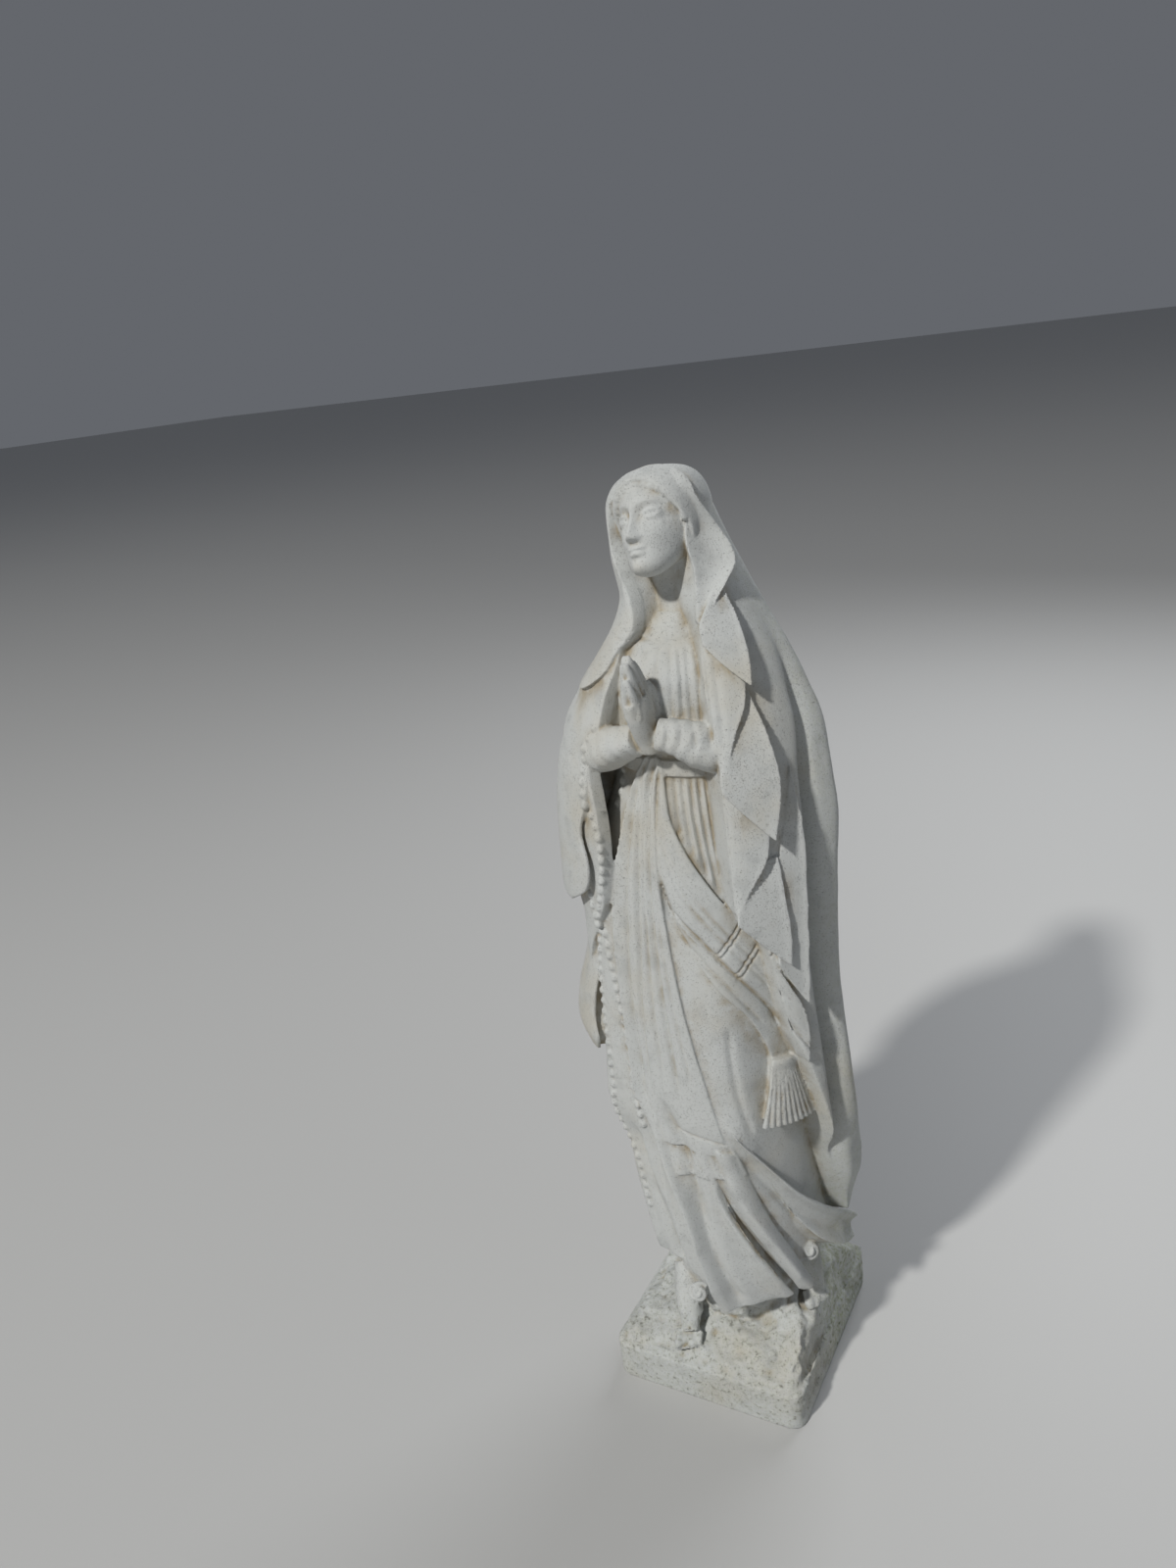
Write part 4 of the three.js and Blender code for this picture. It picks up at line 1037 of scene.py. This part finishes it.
def roughen(points, normals):
    """Broken rock on the block, gentle in front and deep on her left, and a faint waviness above."""
    angle = np.degrees(np.arctan2(points[:, 0], -points[:, 1]))
    z = points[:, 2]
    on_block = ease((120 - z) / 40) * ease((z - 4) / 10)
    left = ease((angle - 38) / 16) * ease((165 - angle) / 20)
    above_band = ease((z - LEDGE_HEIGHT + 6) / 8)
    rocky = on_block * np.maximum(left, above_band)
    folds = lattice_noise(points * [1, 1, 0.55], 26, 3)
    chips = np.abs(lattice_noise(points * [1, 1, 0.7], 11, 4))
    crumbs = 1.2 * lattice_noise(points, 4.8, 5)
    broken = 3.4 * folds - 3.2 * chips + 0.8 * crumbs
    gentle = 2.0 * folds + 1.6 * lattice_noise(points, 55, 8) - 1.3 * chips + 1.1 * crumbs
    push = rocky * (left * broken + (1 - left) * gentle)
    push += on_block * (1 - rocky) * 0.35 * crumbs
    for place, size, depth in worn_pits:
        push -= depth * bell(np.linalg.norm(points - place, axis=1) / size)
    push += (1 - on_block) * (0.4 * lattice_noise(points, 18, 7))
    on_face = np.maximum(np.abs(points[:, 0]) / (BLOCK_WIDTH / 2),
                         np.abs(points[:, 1]) / (BLOCK_DEPTH / 2)) > 0.96
    push = np.minimum(push, np.where(on_face, 0.3, 4.0)) * (normals[:, 2] > -0.5) * (z > 1)
    points += normals * push[:, None]


def vertex_normals(mesh):
    normals = np.zeros(len(mesh.vertices) * 3, np.float32)
    mesh.vertices.foreach_get("normal", normals)
    return normals.reshape(-1, 3).astype(float)


def edge_ends(mesh):
    """The two vertices of each edge."""
    ends = np.zeros(len(mesh.edges) * 2, np.int32)
    mesh.edges.foreach_get("vertices", ends)
    return ends.reshape(-1, 2)


def spread_out(values, ends, rounds):
    """Averages values over neighbouring vertices, again and again."""
    count = np.bincount(ends.ravel(), minlength=len(values))
    for _ in range(rounds):
        total = np.bincount(ends[:, 0], values[ends[:, 1]], len(values))
        total += np.bincount(ends[:, 1], values[ends[:, 0]], len(values))
        values = 0.5 * values + 0.5 * total / np.maximum(count, 1)
    return values


def paint_masks(mesh):
    """Hollows with ochre dirt and painted shade, where lichen grows and where the block is rough, on
    the vertices.
    """
    points, normals = coordinates(mesh), vertex_normals(mesh)
    ends = edge_ends(mesh)
    run = points[ends[:, 1]] - points[ends[:, 0]]
    length = np.maximum(np.linalg.norm(run, axis=1), 1e-6)
    bend = (run * (normals[ends[:, 1]] - normals[ends[:, 0]])).sum(1) / length**2
    count = np.bincount(ends.ravel(), minlength=len(points))
    curve = np.bincount(ends[:, 0], bend, len(points)) + np.bincount(ends[:, 1], bend, len(points))
    curve = spread_out(curve / np.maximum(count, 1), ends, 3)
    wide = spread_out(np.minimum(curve, 0), ends, 10)
    angle = np.degrees(np.arctan2(points[:, 0], -points[:, 1]))
    z = points[:, 2]
    # Painted shade with ochre dirt: concave places, found from how the surface bends, are marked to
    # be darkened.
    hollow_stain_and_shade = ease(-curve / 0.22) * 0.8 + ease(-wide / 0.09) * 0.5
    shade = ease((angle - 60) / 40) * ease((190 - angle) / 30)
    low = ease((260 - z) / 200)
    growth = shade * (0.25 + 0.6 * low) + 0.25 * ease((130 - z) / 60)
    on_block = ease((118 - z) / 30)
    for name, values in (("hollow_stain_and_shade", hollow_stain_and_shade), ("growth", growth), ("rock", on_block)):
        layer = mesh.attributes.new(name, "FLOAT", "POINT")
        layer.data.foreach_set("value", np.clip(values, 0, 1).astype(np.float32))


figure = carve()
apply_modifier(figure, "REMESH", mode="VOXEL", voxel_size=VOXEL * MILLIMETRE)
apply_modifier(figure, "SMOOTH", factor=0.5, iterations=2)
carving = figure.data
points, normals = coordinates(carving), vertex_normals(carving)
engrave(points, normals)
roughen(points, normals)
carving.vertices.foreach_set("co", (points * MILLIMETRE).astype(np.float32).ravel())
carving.update()
faces = len(carving.polygons) * 2
apply_modifier(figure, "TRIANGULATE")
if faces > MOST_TRIANGLES:
    apply_modifier(figure, "DECIMATE", ratio=MOST_TRIANGLES / faces)
paint_masks(figure.data)
figure.data.polygons.foreach_set("use_smooth", [True] * len(figure.data.polygons))
print("figure", len(figure.data.polygons), "triangles")


# Stone


def nodes_of(name):
    material = bpy.data.materials.new(name)
    material.use_nodes = True
    tree = material.node_tree
    return material, tree, tree.nodes["Principled BSDF"]


def feed(tree, socket, value):
    """Sets a socket to a plain value, or links it to another socket."""
    if isinstance(value, bpy.types.NodeSocket):
        tree.links.new(value, socket)
    else:
        socket.default_value = value


def new_node(tree, kind, settings=(), **inputs):
    """A shader node with its settings and its named inputs."""
    node = tree.nodes.new(kind)
    for name, value in dict(settings).items():
        setattr(node, name, value)
    for name, value in inputs.items():
        feed(tree, node.inputs[name], value)
    return node


def group_of(name, inputs, outputs):
    """An empty node group with named inputs and outputs, all of them plain numbers."""
    tree = bpy.data.node_groups.new(name, "ShaderNodeTree")
    for label, value in inputs.items():
        socket = tree.interface.new_socket(label, in_out="INPUT", socket_type="NodeSocketFloat")
        socket.default_value = value
    for label in outputs:
        tree.interface.new_socket(label, in_out="OUTPUT", socket_type="NodeSocketFloat")
    return tree, tree.nodes.new("NodeGroupInput"), tree.nodes.new("NodeGroupOutput")


def math_node(tree, operation, a, b=0.0, clamp=False):
    node = new_node(tree, "ShaderNodeMath", {"operation": operation, "use_clamp": clamp})
    for socket, value in zip(node.inputs, (a, b)):
        feed(tree, socket, value)
    return node.outputs[0]


def times(tree, a, b, clamp=False):
    return math_node(tree, "MULTIPLY", a, b, clamp)


def plus(tree, a, b):
    return math_node(tree, "ADD", a, b)


def ramp(tree, value, low, high):
    """From 0 at low to 1 at high."""
    node = new_node(tree, "ShaderNodeMapRange", {"interpolation_type": "SMOOTHSTEP"}, Value=value)
    node.inputs["From Min"].default_value = low
    node.inputs["From Max"].default_value = high
    return node.outputs[0]


def noise(tree, scale, detail=3.0, roughness=0.6):
    place = new_node(tree, "ShaderNodeTexCoord").outputs["Object"]
    node = new_node(tree, "ShaderNodeTexNoise", Vector=place, Scale=scale, Detail=detail,
                    Roughness=roughness)
    return node.outputs[0]


def pores_group():
    """Fine pits of cast stone: a mask that is 1 in a pit. Amount is the share of cells pitted."""
    tree, given, result = group_of("pores", {"Scale": 400, "Amount": 0.2, "Size": 0.25}, ["Mask"])
    place = new_node(tree, "ShaderNodeTexCoord").outputs["Object"]
    warp = new_node(tree, "ShaderNodeTexNoise", Vector=place, Scale=700.0, Detail=1.0)
    bend = new_node(tree, "ShaderNodeVectorMath", {"operation": "SCALE"})
    tree.links.new(warp.outputs["Color"], bend.inputs[0])
    bend.inputs["Scale"].default_value = 0.0012
    moved = new_node(tree, "ShaderNodeVectorMath", {"operation": "ADD"})
    tree.links.new(place, moved.inputs[0])
    tree.links.new(bend.outputs[0], moved.inputs[1])
    cells = new_node(tree, "ShaderNodeTexVoronoi", Vector=moved.outputs[0],
                     Scale=given.outputs["Scale"])
    lottery = new_node(tree, "ShaderNodeSeparateColor", Color=cells.outputs["Color"])
    patch = ramp(tree, noise(tree, 16.0, 2.0), 0.30, 0.72)
    chance = times(tree, given.outputs["Amount"], plus(tree, patch, 0.35))
    chosen = math_node(tree, "LESS_THAN", lottery.outputs[0], chance)
    size = times(tree, given.outputs["Size"], plus(tree, lottery.outputs[1], 0.5))
    near = math_node(tree, "LESS_THAN", cells.outputs["Distance"], size)
    tree.links.new(times(tree, chosen, near), result.inputs["Mask"])
    return tree


def place_group(tree, group, **inputs):
    node = tree.nodes.new("ShaderNodeGroup")
    node.node_tree = group
    for name, value in inputs.items():
        node.inputs[name].default_value = value
    return node.outputs[0]


def mix_colour(tree, share, first, second):
    node = new_node(tree, "ShaderNodeMix", {"data_type": "RGBA"})
    # Of this node's many sockets, these are the share and the two colours.
    for number, value in ((0, share), (6, first), (7, second)):
        feed(tree, node.inputs[number], value)
    return node.outputs[2]


PALE = (0.545, 0.56, 0.55, 1)
WARM = (0.51, 0.495, 0.44, 1)
GREY = (0.41, 0.425, 0.42, 1)
# Ochre stain, also used to paint the shade in the hollows.
OCHRE_STAIN_AND_SHADE = (0.30, 0.23, 0.125, 1)
LICHEN = (0.36, 0.385, 0.235, 1)
# Dark grit on the rock, also used to paint the shade inside the pits.
SOOT_AND_PIT_SHADE = (0.075, 0.068, 0.055, 1)


def cast_stone():
    """Pale stone, ochre and painted shade in its hollows, green in the shade, gritty rock, pits in
    painted shade.
    """
    material, tree, shader = nodes_of("cast_stone")
    hollow_stain_and_shade, growth, rock = (
        new_node(tree, "ShaderNodeAttribute", {"attribute_name": name}).outputs["Fac"]
        for name in ("hollow_stain_and_shade", "growth", "rock"))
    cloud = noise(tree, 7.0, 4.0)
    mottle = noise(tree, 42.0, 5.0)
    grain = noise(tree, 620.0, 3.0, 0.75)
    speck = noise(tree, 190.0, 3.0, 0.7)

    colour = mix_colour(tree, ramp(tree, cloud, 0.46, 0.72), PALE, WARM)
    colour = mix_colour(tree, times(tree, ramp(tree, mottle, 0.50, 0.74), 0.55), colour, GREY)
    colour = mix_colour(tree, times(tree, ramp(tree, grain, 0.50, 0.80), 0.40), colour, GREY)
    # Painted shade: the hollows go dark ochre, partly a real stain and partly the shade that falls
    # in them.
    stain_and_shade = times(tree, hollow_stain_and_shade, ramp(tree, mottle, 0.34, 0.62))
    colour = mix_colour(tree, times(tree, stain_and_shade, 0.75, True), colour, OCHRE_STAIN_AND_SHADE)
    green = times(tree, growth, ramp(tree, speck, 0.36, 0.66))
    colour = mix_colour(tree, times(tree, green, 0.8, True), colour, LICHEN)
    crumbs = times(tree, rock, ramp(tree, speck, 0.56, 0.70))
    colour = mix_colour(tree, times(tree, crumbs, 0.55), colour, SOOT_AND_PIT_SHADE)

    pores = pores_group()
    fine = place_group(tree, pores, Scale=1000.0, Amount=0.30, Size=0.30)
    large = place_group(tree, pores, Scale=430.0, Amount=0.06, Size=0.2)
    pits = math_node(tree, "MAXIMUM", fine, large)
    # Painted shade: each pit is darkened as the shade inside the hole would be, as the pits are only
    # bumps.
    colour = mix_colour(tree, times(tree, pits, 0.46), colour, SOOT_AND_PIT_SHADE)
    tree.links.new(colour, shader.inputs["Base Color"])
    shader.inputs["Roughness"].default_value = 0.93
    shader.inputs["Specular IOR Level"].default_value = 0.25

    sandy = times(tree, grain, 0.6)
    lumps = times(tree, speck, plus(tree, 0.5, rock))
    height = math_node(tree, "SUBTRACT", plus(tree, sandy, lumps), times(tree, pits, 1.6))
    bump = new_node(tree, "ShaderNodeBump", Height=height, Strength=0.8, Distance=0.0009)
    tree.links.new(bump.outputs["Normal"], shader.inputs["Normal"])
    return material


figure.data.materials.clear()
figure.data.materials.append(cast_stone())
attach(figure, "root")
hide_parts("praying_figure")


# Floor, light and camera

FLOOR_REACH = 60
floor_corners = [(x * FLOOR_REACH, y * FLOOR_REACH, 0)
                 for x, y in ((-1, -1), (1, -1), (1, 1), (-1, 1))]
floor_mesh = bpy.data.meshes.new("floor")
floor_mesh.from_pydata(floor_corners, [], [(0, 1, 2, 3)])
floor = bpy.data.objects.new("floor", floor_mesh)
bpy.context.scene.collection.objects.link(floor)
floor_paint, _, floor_shader = nodes_of("floor_paint")
floor_shader.inputs["Base Color"].default_value = (0.5, 0.5, 0.49, 1)
floor_mesh.materials.append(floor_paint)


def area_light(name, place, target, size, power, colour):
    lamp = bpy.data.lights.new(name, "AREA")
    lamp.shape = "DISK"
    lamp.size = size
    lamp.energy = power
    lamp.color = colour
    made = bpy.data.objects.new(name, lamp)
    made.location = place
    made.rotation_euler = (Vector(target) - Vector(place)).to_track_quat("-Z", "Y").to_euler()
    bpy.context.scene.collection.objects.link(made)


area_light("key", (-2.25, -9.0, 9.1), (0, 0, 0.55), 0.9, 1242, (1.0, 0.985, 0.955))
area_light("fill", (2.6, -0.6, 1.6), (0, 0, 0.5), 2.4, 3.5, (0.86, 0.92, 1.0))
area_light("back", (0.4, 2.6, 2.4), (0, 0, 0.6), 1.8, 44, (0.95, 0.97, 1.0))
world = bpy.data.worlds.new("studio")
bpy.context.scene.world = world
world.use_nodes = True
world.node_tree.nodes["Background"].inputs["Color"].default_value = (0.85, 0.9, 1.0, 1)
world.node_tree.nodes["Background"].inputs["Strength"].default_value = 0.15

CAMERA_PLACE = Vector((0.465, -0.999, 1.102))
azimuth, elevation, roll = math.radians(30.56), math.radians(19.97), math.radians(-7.19)
back = Vector((math.sin(azimuth) * math.cos(elevation),
               -math.cos(azimuth) * math.cos(elevation), math.sin(elevation)))
right = Vector((math.cos(azimuth), math.sin(azimuth), 0))
up = back.cross(right)
lens = bpy.data.cameras.new("camera")
lens.sensor_width = 36
lens.lens = 27
camera = bpy.data.objects.new("camera", lens)
bpy.context.scene.collection.objects.link(camera)
axes = Matrix((right * math.cos(roll) + up * math.sin(roll),
               up * math.cos(roll) - right * math.sin(roll), back)).transposed()
camera.matrix_world = Matrix.Translation(CAMERA_PLACE) @ axes.to_4x4()
bpy.context.scene.camera = camera
bpy.context.scene.view_settings.view_transform = "Standard"
